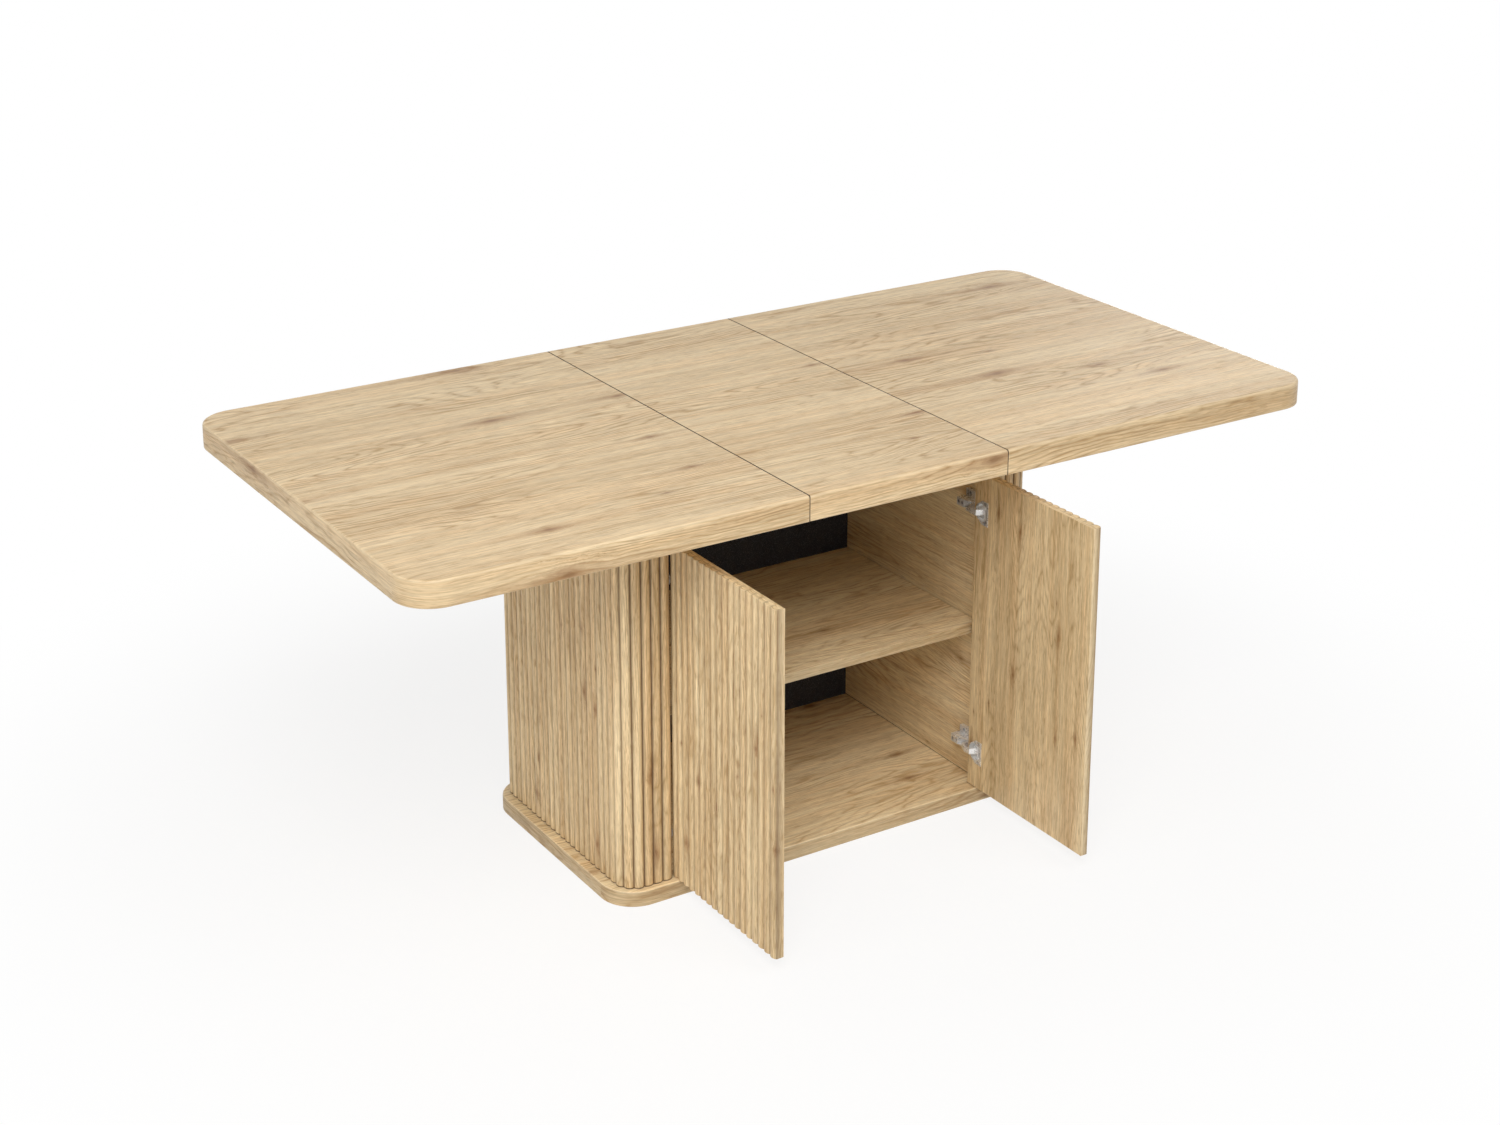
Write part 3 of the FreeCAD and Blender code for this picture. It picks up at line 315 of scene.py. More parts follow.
def bent_grain(graph, grain, parted):
    """The grain after its bends to the side and round the knots."""
    along, across, _ = graph.split(grain)
    wander = graph.minus(layer(graph, "wander", grain), 0.5)
    ripple = graph.minus(layer(graph, "ripple", grain), 0.5)
    bend = graph.times_plus(wander, WANDER, graph.times(ripple, RIPPLE))
    bend = graph.times_plus(parted, -KNOT_PUSH, bend)
    return graph.combine(along, graph.plus(across, bend))


def growth_lines(graph, grain, bent, broken):
    """Contour lines of the hills, from 0 between two lines to 1 on a line."""
    contours = graph.times_plus(layer(graph, "hills", bent), CONTOURS,
                                layer(graph, "jitter", bent))
    crest = graph.unsigned(graph.minus(graph.math("FRACT", contours), 0.5))
    growth = graph.math("POWER", graph.times(crest, 2.0), GROWTH_SHARPNESS)
    return graph.times(graph.times(growth, broken), contrasted(graph, "patches", grain))


# %% The oak group
def oak_group():
    graph, given, made = new_group("oak_grain", "ShaderNodeTree", (
        (VECTOR, "Grain", None), (COLOUR, "Light", (1, 1, 1, 1)), (COLOUR, "Dark", (0, 0, 0, 1)),
        (COLOUR, "Knot", (0, 0, 0, 1)), (COLOUR, "Tint", (1, 1, 1, 1)), (FLOAT, "Streaks", 1.0),
        (FLOAT, "Figure", 0.3), (FLOAT, "Fibre", 0.1), (FLOAT, "Pores", 0.35),
        (FLOAT, "Knots", 0.6), (FLOAT, "Knot scale", 1.0)),
        ((COLOUR, "Colour"), (FLOAT, "Roughness"), (FLOAT, "Height")))
    grain, brown = given["Grain"], given["Knot"]
    mask, parted = knot_marks(graph, given)
    bent = bent_grain(graph, grain, parted)
    broad, bands, lines, fibre, pores, broken, tinted = (
        contrasted(graph, name, bent)
        for name in ("broad", "bands", "lines", "fibre", "pores", "broken", "tint"))
    streaks = graph.times_plus(broad, BROAD_SHARE, graph.times(bands, BANDS_SHARE))
    streaks = graph.times_plus(lines, LINES_SHARE, streaks)
    streaks = graph.times(streaks, given["Streaks"])
    figure = graph.times(growth_lines(graph, grain, bent, broken), given["Figure"])
    pores = graph.times(pores, graph.times_plus(bands, 1.0 - PORES_LEAST, PORES_LEAST))
    pores = graph.times(pores, given["Pores"])

    share = graph.math("ADD", streaks, figure, clamp=True)
    colour = graph.mix(share, given["Light"], given["Dark"])
    colour = graph.mix(tinted, colour, graph.mix(1.0, colour, given["Tint"], "MULTIPLY"))
    shade = graph.times_plus(graph.minus(fibre, 0.5), given["Fibre"], 1.0)
    colour = graph.mix(1.0, colour, graph.combine(shade, shade, shade), "MULTIPLY")
    colour = graph.mix(pores, colour, graph.mix(0.5, given["Dark"], brown))
    for name, strength in KNOT_STAINS:
        colour = graph.mix(graph.times(mask[name], strength), colour, brown)
    dark_core = graph.mix(1.0, brown, CORE_SHADE, "MULTIPLY")
    core = graph.times(mask["core"], CORE_STAIN)
    graph.feed(made["Colour"], graph.mix(core, colour, dark_core))
    rough = graph.times_plus(pores, PORE_ROUGH, graph.times_plus(fibre, FIBRE_ROUGH, ROUGH))
    graph.feed(made["Roughness"], rough)
    sunk = graph.times(graph.plus(pores, mask["core"]), -PORE_DEPTH)
    graph.feed(made["Height"], graph.times_plus(fibre, FIBRE_HEIGHT, sunk))
    return graph.tree


OAK = oak_group()
print("oak group:", len(OAK.nodes), "nodes")

# %% [markdown]
# ## Worn, brightened edges and handling marks, shared by wood and metal
# Hands and cloths polish the edges of a piece first. The mesh code below marks each rounded
# edge with the attribute `edge`, from 0 on the flats to 1 in the middle of the rounding, and
# one group turns it into a paler, smoother finish: partly wear, and partly a painted
# highlight along the rounding. The second group gives faint smudges: it only changes the
# roughness, so it shows where a lamp is reflected.

# %% The edge and handling groups
EDGE_POLISH = 0.12           # how much smoother a fully worn edge is
WEAR_CELLS = (18.0, 90.0, 90.0)          # patches of wear in a metre, long along X
WEAR_PATCHES = (0.3, 0.7, 0.45, 1.0)     # noise values, then the least and the full wear


def edge_group():
    graph, given, made = new_group("edge_wear_and_highlight", "ShaderNodeTree", (
        (COLOUR, "Colour", (1, 1, 1, 1)), (COLOUR, "Worn", (1, 1, 1, 1)), (FLOAT, "Wear", 0.5),
        (FLOAT, "Roughness", 0.5), (VECTOR, "Grain", None)),
        ((COLOUR, "Colour"), (FLOAT, "Roughness")))
    edge = graph.attribute("edge")
    patchy = graph.noise(given["Grain"], WEAR_CELLS, 3.0, flat=False)
    patchy = graph.ranged(patchy, *WEAR_PATCHES)
    worn_and_lit = graph.times(graph.times(edge, patchy), given["Wear"])
    graph.feed(made["Colour"], graph.mix(worn_and_lit, given["Colour"], given["Worn"]))
    graph.feed(made["Roughness"], graph.times_plus(worn_and_lit, -EDGE_POLISH, given["Roughness"]))
    return graph.tree


def handling_group():
    graph, given, made = new_group("handling_marks", "ShaderNodeTree", (
        (VECTOR, "Place", None), (FLOAT, "Roughness", 0.5), (FLOAT, "Amount", 0.06),
        (FLOAT, "Scale", 9.0)), ((FLOAT, "Roughness"),))
    cloud = graph.noise(graph.scaled(given["Place"], given["Scale"]), (1.0, 1.0, 1.0), 4.0, 0.6,
                        flat=False)
    drift = graph.times(graph.minus(cloud, 0.5), given["Amount"])
    graph.feed(made["Roughness"], graph.plus(given["Roughness"], drift))
    return graph.tree


EDGE_WEAR_AND_HIGHLIGHT = edge_group()
HANDLING = handling_group()
print("edge group:", len(EDGE_WEAR_AND_HIGHLIGHT.nodes), "nodes, handling group:", len(HANDLING.nodes))

# %% [markdown]
# ## The oak finishes
# A material places the oak group, the edge group and the handling group, and ends in its
# own Principled shader. The grain follows the board: the mesh code stores the attribute
# `grain`, metres along and across the board's own grain, on every face corner. So an edge
# band has its grain lengthwise, as a real glued band has, and each board is cut from
# another part of the pattern. Three more attributes tone the wood. `band` marks the glued
# edge bands, darker than the faces: partly by their own tone, partly by painted shade.
# `valley` marks the narrow places between two flutes, which get painted shade. `seam` marks
# painted shade too: thin dark lines in the gaps at the seams of the top and at the shelf's
# ends, and where the side panels and the flutes stand on the board below.
# Only plain values are set on the shader's own sockets.

# %% Oak materials
KNOT_BROWN = (153, 112, 70)
SEAM_SHADE_BROWN = (44, 29, 20)             # painted shade in the gaps at seams and where walls and panels stand on a board
VALLEY_SHADE_BROWN = (98, 70, 44)           # painted shade between the flutes
VALLEY_SHADE_STRENGTH = 0.6
PINK_TINT = (255, 250, 245)           # multiplies the oak colour in some bands
BAND_TONE_AND_SHADE = (0.6, 0.57, 0.53, 1.0)   # multiplies the oak colour on a full edge band: partly the band's own tone, partly painted shade


def place_group(graph, group, **values):
    return graph.wire(graph.add("ShaderNodeGroup", node_tree=group), **values).outputs


def finish_shader(graph, colour, roughness, height, bump=0.2, depth=0.0006, **constants):
    """The Principled shader at the end of a material, with its bump and plain values."""
    bumps = graph.wire(graph.add("ShaderNodeBump"), Strength=bump, Distance=depth, Height=height)
    shader = graph.wire(graph.add("ShaderNodeBsdfPrincipled"), Base_Color=colour,
                        Roughness=roughness, Normal=bumps.outputs[0], **constants)
    graph.add("ShaderNodeOutputMaterial", shader.outputs[0])


def new_material(name):
    material = bpy.data.materials.new(name)
    material.use_nodes = True
    material.node_tree.nodes.clear()
    return material, Graph(material.node_tree)


def object_place(graph):
    return graph.add("ShaderNodeTexCoord").outputs["Object"]


def oak_material(name, light, dark, worn_and_lit, fineness, **values):
    """An oak finish; the colours are as a screen shows them, 0 to 255."""
    material, graph = new_material(name)
    grain = graph.vector("MULTIPLY", graph.attribute("grain", "Vector"),
                         (fineness, fineness, 1.0))
    oak = place_group(graph, OAK, Grain=grain, Light=linear(*light), Dark=linear(*dark),
                      Knot=linear(*KNOT_BROWN), Tint=linear(*PINK_TINT), **values)
    # Paler, smoother rounded edges: partly wear, partly a painted highlight.
    edges = place_group(graph, EDGE_WEAR_AND_HIGHLIGHT, Colour=oak["Colour"], Worn=linear(*worn_and_lit), Wear=0.55,
                        Roughness=oak["Roughness"], Grain=object_place(graph))
    # Edge bands are darker: partly their own tone, partly painted shade.
    banded = graph.mix(1.0, edges["Colour"], BAND_TONE_AND_SHADE, "MULTIPLY")
    colour = graph.mix(graph.attribute("band"), edges["Colour"], banded)
    # Both marks are painted shade: thin dark lines in gaps and joints, and darker valleys between
    # the flutes.
    for mark, shade_colour, strength in (("seam", SEAM_SHADE_BROWN, 1.0),
                                  ("valley", VALLEY_SHADE_BROWN, VALLEY_SHADE_STRENGTH)):
        colour = graph.mix(graph.times(graph.attribute(mark), strength), colour,
                           linear(*shade_colour))
    marks = place_group(graph, HANDLING, Place=object_place(graph),
                        Roughness=edges["Roughness"], Amount=0.09)
    finish_shader(graph, colour, marks["Roughness"], oak["Height"], IOR=1.45)
    return material


TOP_OAK = oak_material("top_oak", (240, 217, 177), (186, 154, 109), (240, 219, 182), 1.0,
                       Streaks=0.7, Figure=0.85, Fibre=0.26, Pores=0.42, Knots=0.58,
                       Knot_scale=1.7)
FLUTED_OAK = oak_material("fluted_oak", (247, 225, 182), (186, 156, 111), (248, 227, 188), 1.3,
                          Streaks=0.78, Figure=0.5, Fibre=0.28, Pores=0.6, Knots=0.45,
                          Knot_scale=0.85)
# The panel oak is the palest of the three, partly as painted light that lifts the shaded inside of
# the cabinet.
PANEL_OAK = oak_material("panel_oak", (252, 234, 195), (206, 176, 131), (252, 234, 198), 1.1,
                         Streaks=0.75, Figure=1.0, Fibre=0.26, Pores=0.5, Knots=0.42,
                         Knot_scale=1.1)
print("three oak finishes, each of", len(TOP_OAK.node_tree.nodes), "nodes")

# %% [markdown]
# ## Plain wood, board and lining
# The cleats and dowels are beech: pinkish, with short flecks and hardly any streaks. The
# hidden ribs are raw particle board, pressed from flakes, which a Voronoi texture gives
# well. The back of the compartment is lined with a near-black board with a fine speckle.
# Most of these pieces have no `grain` attribute, so their patterns read Object coordinates.

# %% Beech, particle board and lining
FLECK_CELLS = (160.0, 900.0, 900.0)      # cells of each noise in a metre
FLAKE_CELLS, DUST_CELLS = (240.0, 240.0, 420.0), (30.0, 30.0, 30.0)
SPECKLE_CELLS, CLOUD_CELLS = (700.0, 700.0, 700.0), (14.0, 14.0, 14.0)


def beech_material():
    material, graph = new_material("beech")
    place = object_place(graph)
    oak = place_group(graph, OAK, Grain=place, Light=linear(222, 186, 146), Figure=0.1,
                      Dark=linear(196, 154, 114), Knot=linear(150, 104, 72), Knots=0.0,
                      Streaks=0.4, Pores=0.25)
    flecks = graph.ranged(graph.noise(place, FLECK_CELLS, 1.0, flat=False), 0.6, 0.7)
    colour = graph.mix(graph.times(flecks, 0.35), oak["Colour"], linear(168, 120, 84))
    marks = place_group(graph, HANDLING, Place=place, Roughness=oak["Roughness"])
    finish_shader(graph, colour, marks["Roughness"], oak["Height"], IOR=1.45)
    return material


def particle_board_material():
    material, graph = new_material("rib_board")
    place = object_place(graph)
    flakes = graph.wire(graph.add("ShaderNodeTexVoronoi", feature="F1"), Scale=1.0,
                        Vector=graph.vector("MULTIPLY", place, FLAKE_CELLS))
    tone = graph.split(flakes.outputs["Color"])[0]
    pale_flake, brown_flake, pale_dust = (206, 174, 128), (150, 116, 78), (214, 196, 164)
    colour = graph.mix(tone, linear(*pale_flake), linear(*brown_flake))
    dust = graph.ranged(graph.noise(place, DUST_CELLS, 4.0, flat=False), 0.35, 0.75)
    colour = graph.mix(graph.times(dust, 0.3), colour, linear(*pale_dust))
    rough = graph.times_plus(tone, 0.15, 0.72)
    finish_shader(graph, colour, rough, flakes.outputs["Distance"], 0.35, 0.0008, IOR=1.45)
    return material


def lining_material():
    material, graph = new_material("dark_lining")
    place = object_place(graph)
    dark_ground, pale_ground, spot_grey = (26, 27, 32), (40, 41, 48), (112, 114, 124)
    speckle = graph.noise(place, SPECKLE_CELLS, 2.0, 0.7, flat=False)
    spots = graph.ranged(speckle, 0.52, 0.72)
    cloud = graph.noise(place, CLOUD_CELLS, 3.0, flat=False)
    ground = graph.mix(cloud, linear(*dark_ground), linear(*pale_ground))
    colour = graph.mix(graph.times(spots, 0.6), ground, linear(*spot_grey))
    marks = place_group(graph, HANDLING, Place=place, Roughness=0.7, Amount=0.2, Scale=30.0)
    finish_shader(graph, colour, marks["Roughness"], speckle, 0.4, 0.0004, IOR=1.45)
    return material


BEECH = beech_material()
RIB_BOARD = particle_board_material()
DARK_LINING = lining_material()
print("plain finishes:", BEECH.name, RIB_BOARD.name, DARK_LINING.name)

# %% [markdown]
# ## Metal and nylon
# The slides are bright zinc-coated steel, drawn through a die, so they have fine lines
# along their length. The hinges are nickel plated: they show the room round them with a
# light haze, and part of the light is scattered by the fine grain of the plating. Pure
# metal would turn nearly black in a shaded corner, so their Metallic value is between that
# of metal and that of paint. Screws are blue-white zinc. The slide stops are black nylon.

# %% Metal and nylon materials
PLATED = 0.55                # Metallic value of the nickel plating
RUBBED_AND_LIT_EDGE = (250, 250, 248)   # the colour of a rubbed metal edge, partly a painted highlight
TARNISH_CELLS = (55.0, 55.0, 55.0)       # cells in a metre of the dull clouds on metal
PEBBLE_CELLS = (900.0, 900.0, 900.0)     # and of the moulded texture of nylon
LINE_STRENGTH = 0.35         # of the drawn lines on metal


def metal_material(name, pale, dull, roughness, lines, haze, bump, metallic=1.0):
    material, graph = new_material(name)
    place = object_place(graph)
    drawn = graph.noise(place, lines, 3.0, 0.6, flat=False)
    cloud = graph.noise(place, TARNISH_CELLS, 4.0, 0.65, flat=False)
    colour = graph.mix(graph.ranged(cloud, 0.3, 0.75), linear(*pale), linear(*dull))
    line = graph.times(graph.ranged(drawn, 0.45, 0.75), LINE_STRENGTH)
    colour = graph.mix(line, colour, linear(*dull))
    rough = graph.times_plus(drawn, haze, roughness)
    # Paler, smoother edges: partly a rubbed edge, partly a painted highlight.
    edges = place_group(graph, EDGE_WEAR_AND_HIGHLIGHT, Colour=colour, Worn=linear(*RUBBED_AND_LIT_EDGE), Wear=0.6,
                        Roughness=rough, Grain=place)
    marks = place_group(graph, HANDLING, Place=place, Roughness=edges["Roughness"],
                        Amount=haze, Scale=60.0)
    finish_shader(graph, edges["Colour"], marks["Roughness"], drawn, bump, 0.0002,
                  Metallic=metallic)
    return material


def nylon_material():
    material, graph = new_material("black_nylon")
    place = object_place(graph)
    black, soft_black = (24, 24, 25), (44, 44, 46)
    pebble = graph.noise(place, PEBBLE_CELLS, 2.0, flat=False)
    colour = graph.mix(pebble, linear(*black), linear(*soft_black))
    marks = place_group(graph, HANDLING, Place=place, Roughness=0.42, Amount=0.15, Scale=80.0)
    finish_shader(graph, colour, marks["Roughness"], pebble, 0.3, 0.0003, IOR=1.5)
    return material


SLIDE_STEEL = metal_material("slide_steel", (210, 213, 216), (174, 178, 182), 0.28,
                             (3.0, 900.0, 900.0), 0.16, 0.25)
HINGE_NICKEL = metal_material("hinge_chrome", (250, 250, 249), (216, 217, 219), 0.26,
                              (300.0, 300.0, 900.0), 0.12, 0.08, PLATED)
SCREW_ZINC = metal_material("screw_zinc", (214, 217, 222), (148, 152, 160), 0.22,
                            (500.0, 500.0, 500.0), 0.18, 0.12)
BLACK_NYLON = nylon_material()
print("metal and nylon:", len(HINGE_NICKEL.node_tree.nodes), "nodes in the nickel")

# %% [markdown]
# ## Handing a piece over
# Each finished piece stands for a drawn one: it hides it and rides on its body. One small
# function does both, so that no piece is forgotten, and prints the count of faces.

# %% Handing over
WELD = 1e-6                  # metres; points closer than this become one


def hand_over(piece, node):
    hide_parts(node)
    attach(piece, BODY_OF[node])
    print(f"{piece.name}: {len(piece.data.polygons)} faces, rides on {BODY_OF[node]}")


def piece_from(name, mesh_or_bmesh, material):
    """A new object, placed at the origin, from a mesh or a bmesh."""
    mesh = mesh_or_bmesh
    if isinstance(mesh, bmesh.types.BMesh):
        mesh = bpy.data.meshes.new(name)
        mesh_or_bmesh.to_mesh(mesh)
        mesh_or_bmesh.free()
    if material is not None:
        mesh.materials.clear()
        mesh.materials.append(material)
    piece = bpy.data.objects.new(name, mesh)
    bpy.context.scene.collection.objects.link(piece)
    return piece


# %% [markdown]
# ## Boards with rounded edges
# The tabletop, plinth, shelf and panels are boards: a plan outline, pushed up to the
# board's thickness, with every edge rounded. A Bevel modifier could round them, but here
# rings of points are stacked instead, because each ring then knows where it is: the flats
# get one extra ring beside each rounding, which keeps them truly flat in the light, and the
# roundings get their `edge` mark. A side that meets another board stays nearly square: only
# its arris is taken off, and a narrow rim round it gets the mark `seam`, painted shade for
# the dark gap there. The rest of that side is an edge band like the others. A board can
# also get the mark `seam` along its foot, painted shade where it stands on the board below.

# %% The board maker
GUARD = 1.2 * MM             # from a rounding to the extra ring beside it
PLAN_STEPS, SMALL_STEPS = 14, 3      # steps round a large and a small plan corner
LARGE_CORNER = 10 * MM
ROUND_STEPS = 4              # steps over a rounded edge
EASE = 0.8 * MM              # roundings of plain boards
ARRIS = 1.1 * MM             # roundings of a square side at a seam
SEAM_SHADE_RIM = 2 * MM            # width of the rim of painted shade round a square side
FOOT_SHADE_REACH = 1 * MM          # how far the painted shade at the foot climbs past the rounding
SHARP = math.radians(35)     # edges that turn more than this stay crisp
LEVEL = 0.75                 # a face whose normal points up or down by more lies level


def plan_outline(low, high, radii, inset, square, square_inset):
    """Points round a board, from the front left corner and anticlockwise."""
    left = low.x + (square_inset if "left" in square else inset)
    right = high.x - (square_inset if "right" in square else inset)
    front, back = low.y + inset, high.y - inset
    corners = ((left, front, 1, 1), (right, front, -1, 1), (right, back, -1, -1),
               (left, back, 1, -1))
    points = []
    for number, ((x, y, to_x, to_y), full_radius) in enumerate(zip(corners, radii)):
        large = full_radius > LARGE_CORNER
        steps = PLAN_STEPS if large else SMALL_STEPS
        radius = max(full_radius - inset, 0.0)
        centre = Vector((x + to_x * radius, y + to_y * radius))
        first = math.pi + number * math.pi / 2
        before = Vector((math.cos(first + math.pi / 2), math.sin(first + math.pi / 2)))
        after = Vector((math.cos(first), math.sin(first)))
        points.append((centre + after * radius - before * GUARD, 0.0))
        for i in range(steps + 1):
            turn = first + math.pi / 2 * i / steps
            spot = centre + Vector((math.cos(turn), math.sin(turn))) * radius
            points.append((spot, 0.0 if large else math.sin(math.pi * i / steps)))
        points.append((spot - after * GUARD, 0.0))
    return points


def levels_at_face(face_z, way, radius):
    """Rings from a face to the side below or above it: (inset, guard, height, edge mark)."""
    levels = [(radius + GUARD, GUARD, face_z, 0.0)]
    for i in range(ROUND_STEPS + 1):
        turn = math.pi / 2 * i / ROUND_STEPS
        levels.append((radius * (1 - math.sin(turn)), 0.0,
                       face_z + way * radius * (1 - math.cos(turn)), math.sin(2 * turn)))
    return levels + [(0.0, 0.0, face_z + way * (radius + GUARD), 0.0)]


def arris(depth):
    """How far a square side is set back at a depth below a face, by its small rounding."""
    rest = max(1 - depth / ARRIS, 0.0)
    return ARRIS * (1 - math.sqrt(1 - rest * rest))


def rounded_board(name, node, material, radii=(EASE,) * 4, lower=EASE, upper=EASE, square=(),
                  crossed=False, foot=0.0, band=0.0, cut_from=(0.0, 0.0)):
    """A board in the place of a drawn one. `cut_from` picks the part of the oak pattern."""
    low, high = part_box(node)
    bm = bmesh.new()
    edge = bm.verts.layers.float.new("edge")
    seam = bm.verts.layers.float.new("seam")
    seams = [end for name_of, end in (("left", low.x), ("right", high.x)) if name_of in square]
    rings = []
    levels = levels_at_face(low.z, 1, lower) + levels_at_face(high.z, -1, upper)[::-1]
    for inset, guard, z, mark in levels:
        set_back = arris(min(z - low.z, high.z - z)) + guard
        ring = []
        for point, corner_mark in plan_outline(low, high, radii, inset, square, set_back):
            vertex = bm.verts.new((point.x, point.y, z))
            vertex[edge] = max(mark, corner_mark)
            # Painted shade along the foot, where the board stands on the one below.
            if z < low.z + lower + FOOT_SHADE_REACH:
                vertex[edge], vertex[seam] = vertex[edge] * (1 - foot), foot
            # Painted shade round a square side, for the dark gap at a seam.
            if any(abs(point.x - end) < ARRIS / 2 for end in seams):
                rim = min(z - low.z, high.z - z, point.y - low.y, high.y - point.y)
                vertex[edge], vertex[seam] = 0.0, float(rim < SEAM_SHADE_RIM)
            ring.append(vertex)
        rings.append(ring)
    cover_board(bm, rings, crossed, band, cut_from)
    bmesh.ops.remove_doubles(bm, verts=bm.verts, dist=WELD)
    board = piece_from(name, bm, material)
    board.data.set_sharp_from_angle(angle=SHARP)
    return board


def cover_board(bm, rings, crossed, band, cut_from):
    """Faces between the rings, each with its `grain` and `band` marks."""
    banded = bm.loops.layers.float.new("band")
    grain = bm.loops.layers.float_vector.new("grain")
    widest = rings[len(rings) // 2]
    run = [0.0]
    for a, b in zip(widest, widest[1:] + widest[:1]):
        run.append(run[-1] + (b.co - a.co).length)
    count = len(widest)
    for below, above in zip(rings, rings[1:]):
        for i in range(count):
            j = (i + 1) % count
            face = bm.faces.new((below[i], below[j], above[j], above[i]))
            face.smooth = True
            for loop, distance in zip(face.loops, (run[i], run[i + 1], run[i + 1], run[i])):
                loop[grain] = Vector((distance, loop.vert.co.z, 0.0))
    for ring in (rings[0][::-1], rings[-1]):
        bm.faces.new(ring).smooth = True
    bm.normal_update()
    for face in bm.faces:
        level = abs(face.normal.z) > LEVEL
        for loop in face.loops:
            loop[banded] = 0.0 if level else band
            along, across, _ = loop[grain]
            if level:
                along, across = loop.vert.co.x, loop.vert.co.y
            if crossed and level:
                along, across = across, along
            loop[grain] = Vector((along + cut_from[0], across + cut_from[1], 0.0))


# %% [markdown]
# ## The tabletop
# Three boards lie side by side: two ends with rounded plan corners, and a loose middle leaf
# between two 1 mm seams. The upper edge is rounded by 5 mm and the lower one by 2 mm, but
# only on the outer sides. At a seam both boards are square, with a dark rim of painted
# shade, so the seam is a thin dark line. The pattern changes at each seam, as it does on a
# real top: each board is cut from a different part of it.

# %% Tabletop boards
TOP_CORNER = 65 * MM
TOP_ROUND, UNDERSIDE_ROUND = 5 * MM, 2 * MM
TOP_BAND = 0.22              # darkness of the edge bands, from 0 to 1: partly their own tone, partly painted shade
LEFT_CORNERS = (TOP_CORNER, ARRIS, ARRIS, TOP_CORNER)
RIGHT_CORNERS = (ARRIS, TOP_CORNER, TOP_CORNER, ARRIS)

for node, radii, square, cut_from in (
        ("left_top", LEFT_CORNERS, ("right",), (3.1, 0.4)),
        ("middle_leaf", (ARRIS,) * 4, ("left", "right"), (9.2, 2.7)),
        ("right_top", RIGHT_CORNERS, ("left",), (14.6, 5.9))):
    hand_over(rounded_board(node + "_board", node, TOP_OAK, radii, UNDERSIDE_ROUND, TOP_ROUND,
                            square, band=TOP_BAND, cut_from=cut_from), node)

# %% [markdown]
# ## Plinth, cap, shelf and panels
# The cabinet stands on a plinth board with large plan corners and a rounded upper edge.
# The cap board closes it at the top, hidden in the shade of the tabletop. Shelf and floor
# have their grain from left to right, and the side panels from front to back. The glued
# bands on the plinth and the shelf are darker than their faces: partly by their own tone,
# partly by painted shade. The same board maker serves them all, so a table of what differs
# is enough.

# %% Cabinet boards
PLINTH_CORNER, PLINTH_ROUND = 65 * MM, 3 * MM
CAP_CORNER = 42 * MM
# The band values darken the edge bands: partly their own tone, partly painted shade.
CABINET_BOARDS = [
    ("plinth_board_finished", "plinth_board",
     {"radii": (PLINTH_CORNER,) * 4, "upper": PLINTH_ROUND, "band": 0.7, "cut_from": (21.3, 1.9)}),
    ("cap_board_finished", "cabinet_cap", {"radii": (CAP_CORNER,) * 4, "cut_from": (27.9, 3.3)}),
    ("shelf_finished", "shelf",
     {"square": ("left", "right"), "band": 0.8, "cut_from": (33.7, 7.1)}),
    ("head_batten_finished", "head_batten", {"cut_from": (36.2, 2.2)}),
]
# The side panels get painted shade along their foot.
for side, cut_from in (("left", (41.0, 0.7)), ("right", (45.4, 4.6))):
    CABINET_BOARDS.append((side + "_side_panel_finished", side + "_side_panel",
                           {"crossed": True, "foot": 1.0, "cut_from": cut_from}))
for name, node, options in CABINET_BOARDS:
    hand_over(rounded_board(name, node, PANEL_OAK, **options), node)
hand_over(rounded_board("back_lining_finished", "back_lining", DARK_LINING), "back_lining")

# %% [markdown]
# ## The flutes, with Geometry Nodes
# Ends, doors, back and head rail carry the same upright convex flutes. On the real cabinet
# they are milled into thin board that is bent round the corners. A rule describes them
# well, so Geometry Nodes make them: a section of the board, as a saw would cut it from top
# to bottom, is swept along the wall's line on the floor, and its outer side is pushed out
# by the arc of a flute. The line is shared out into a whole number of flutes. The section
# comes from a small helper mesh with rounded edges, which also says which of its points
# lie on the outer side and at the foot, where painted shade darkens the joint to the board
# below. The valleys between the flutes get painted shade, heavier on the front and the back
# than on the ends.

# %% The arc and the grain of a flute
FLUTE_DEPTH = 4 * MM
FLUTE_STEPS = 12
VALLEY_FADE = 4.0            # higher means that the painted shade in a valley is narrower
FRONT_BACK_SHADE = 0.7           # extra painted shade in the valleys of flutes that face the front or the back
NUDGE = 1e-4                 # keeps a point on the border of two flutes in the second one
SOFT = math.radians(40)      # edges of a fluted wall that turn less are shaded smooth


def store(graph, geometry, name, value, kind="FLOAT", domain="POINT"):
    """Keeps a value under a name on every point, or on every face corner."""
    node = graph.add("GeometryNodeStoreNamedAttribute", data_type=kind, domain=domain)
    return graph.wire(node, Geometry=geometry, Name=name, Value=value).outputs[0]


def named(graph, name, kind="FLOAT"):
    """Reads a value back that was kept under a name."""
    node = graph.add("GeometryNodeInputNamedAttribute", name, data_type=kind)
    return node.outputs["Attribute"]


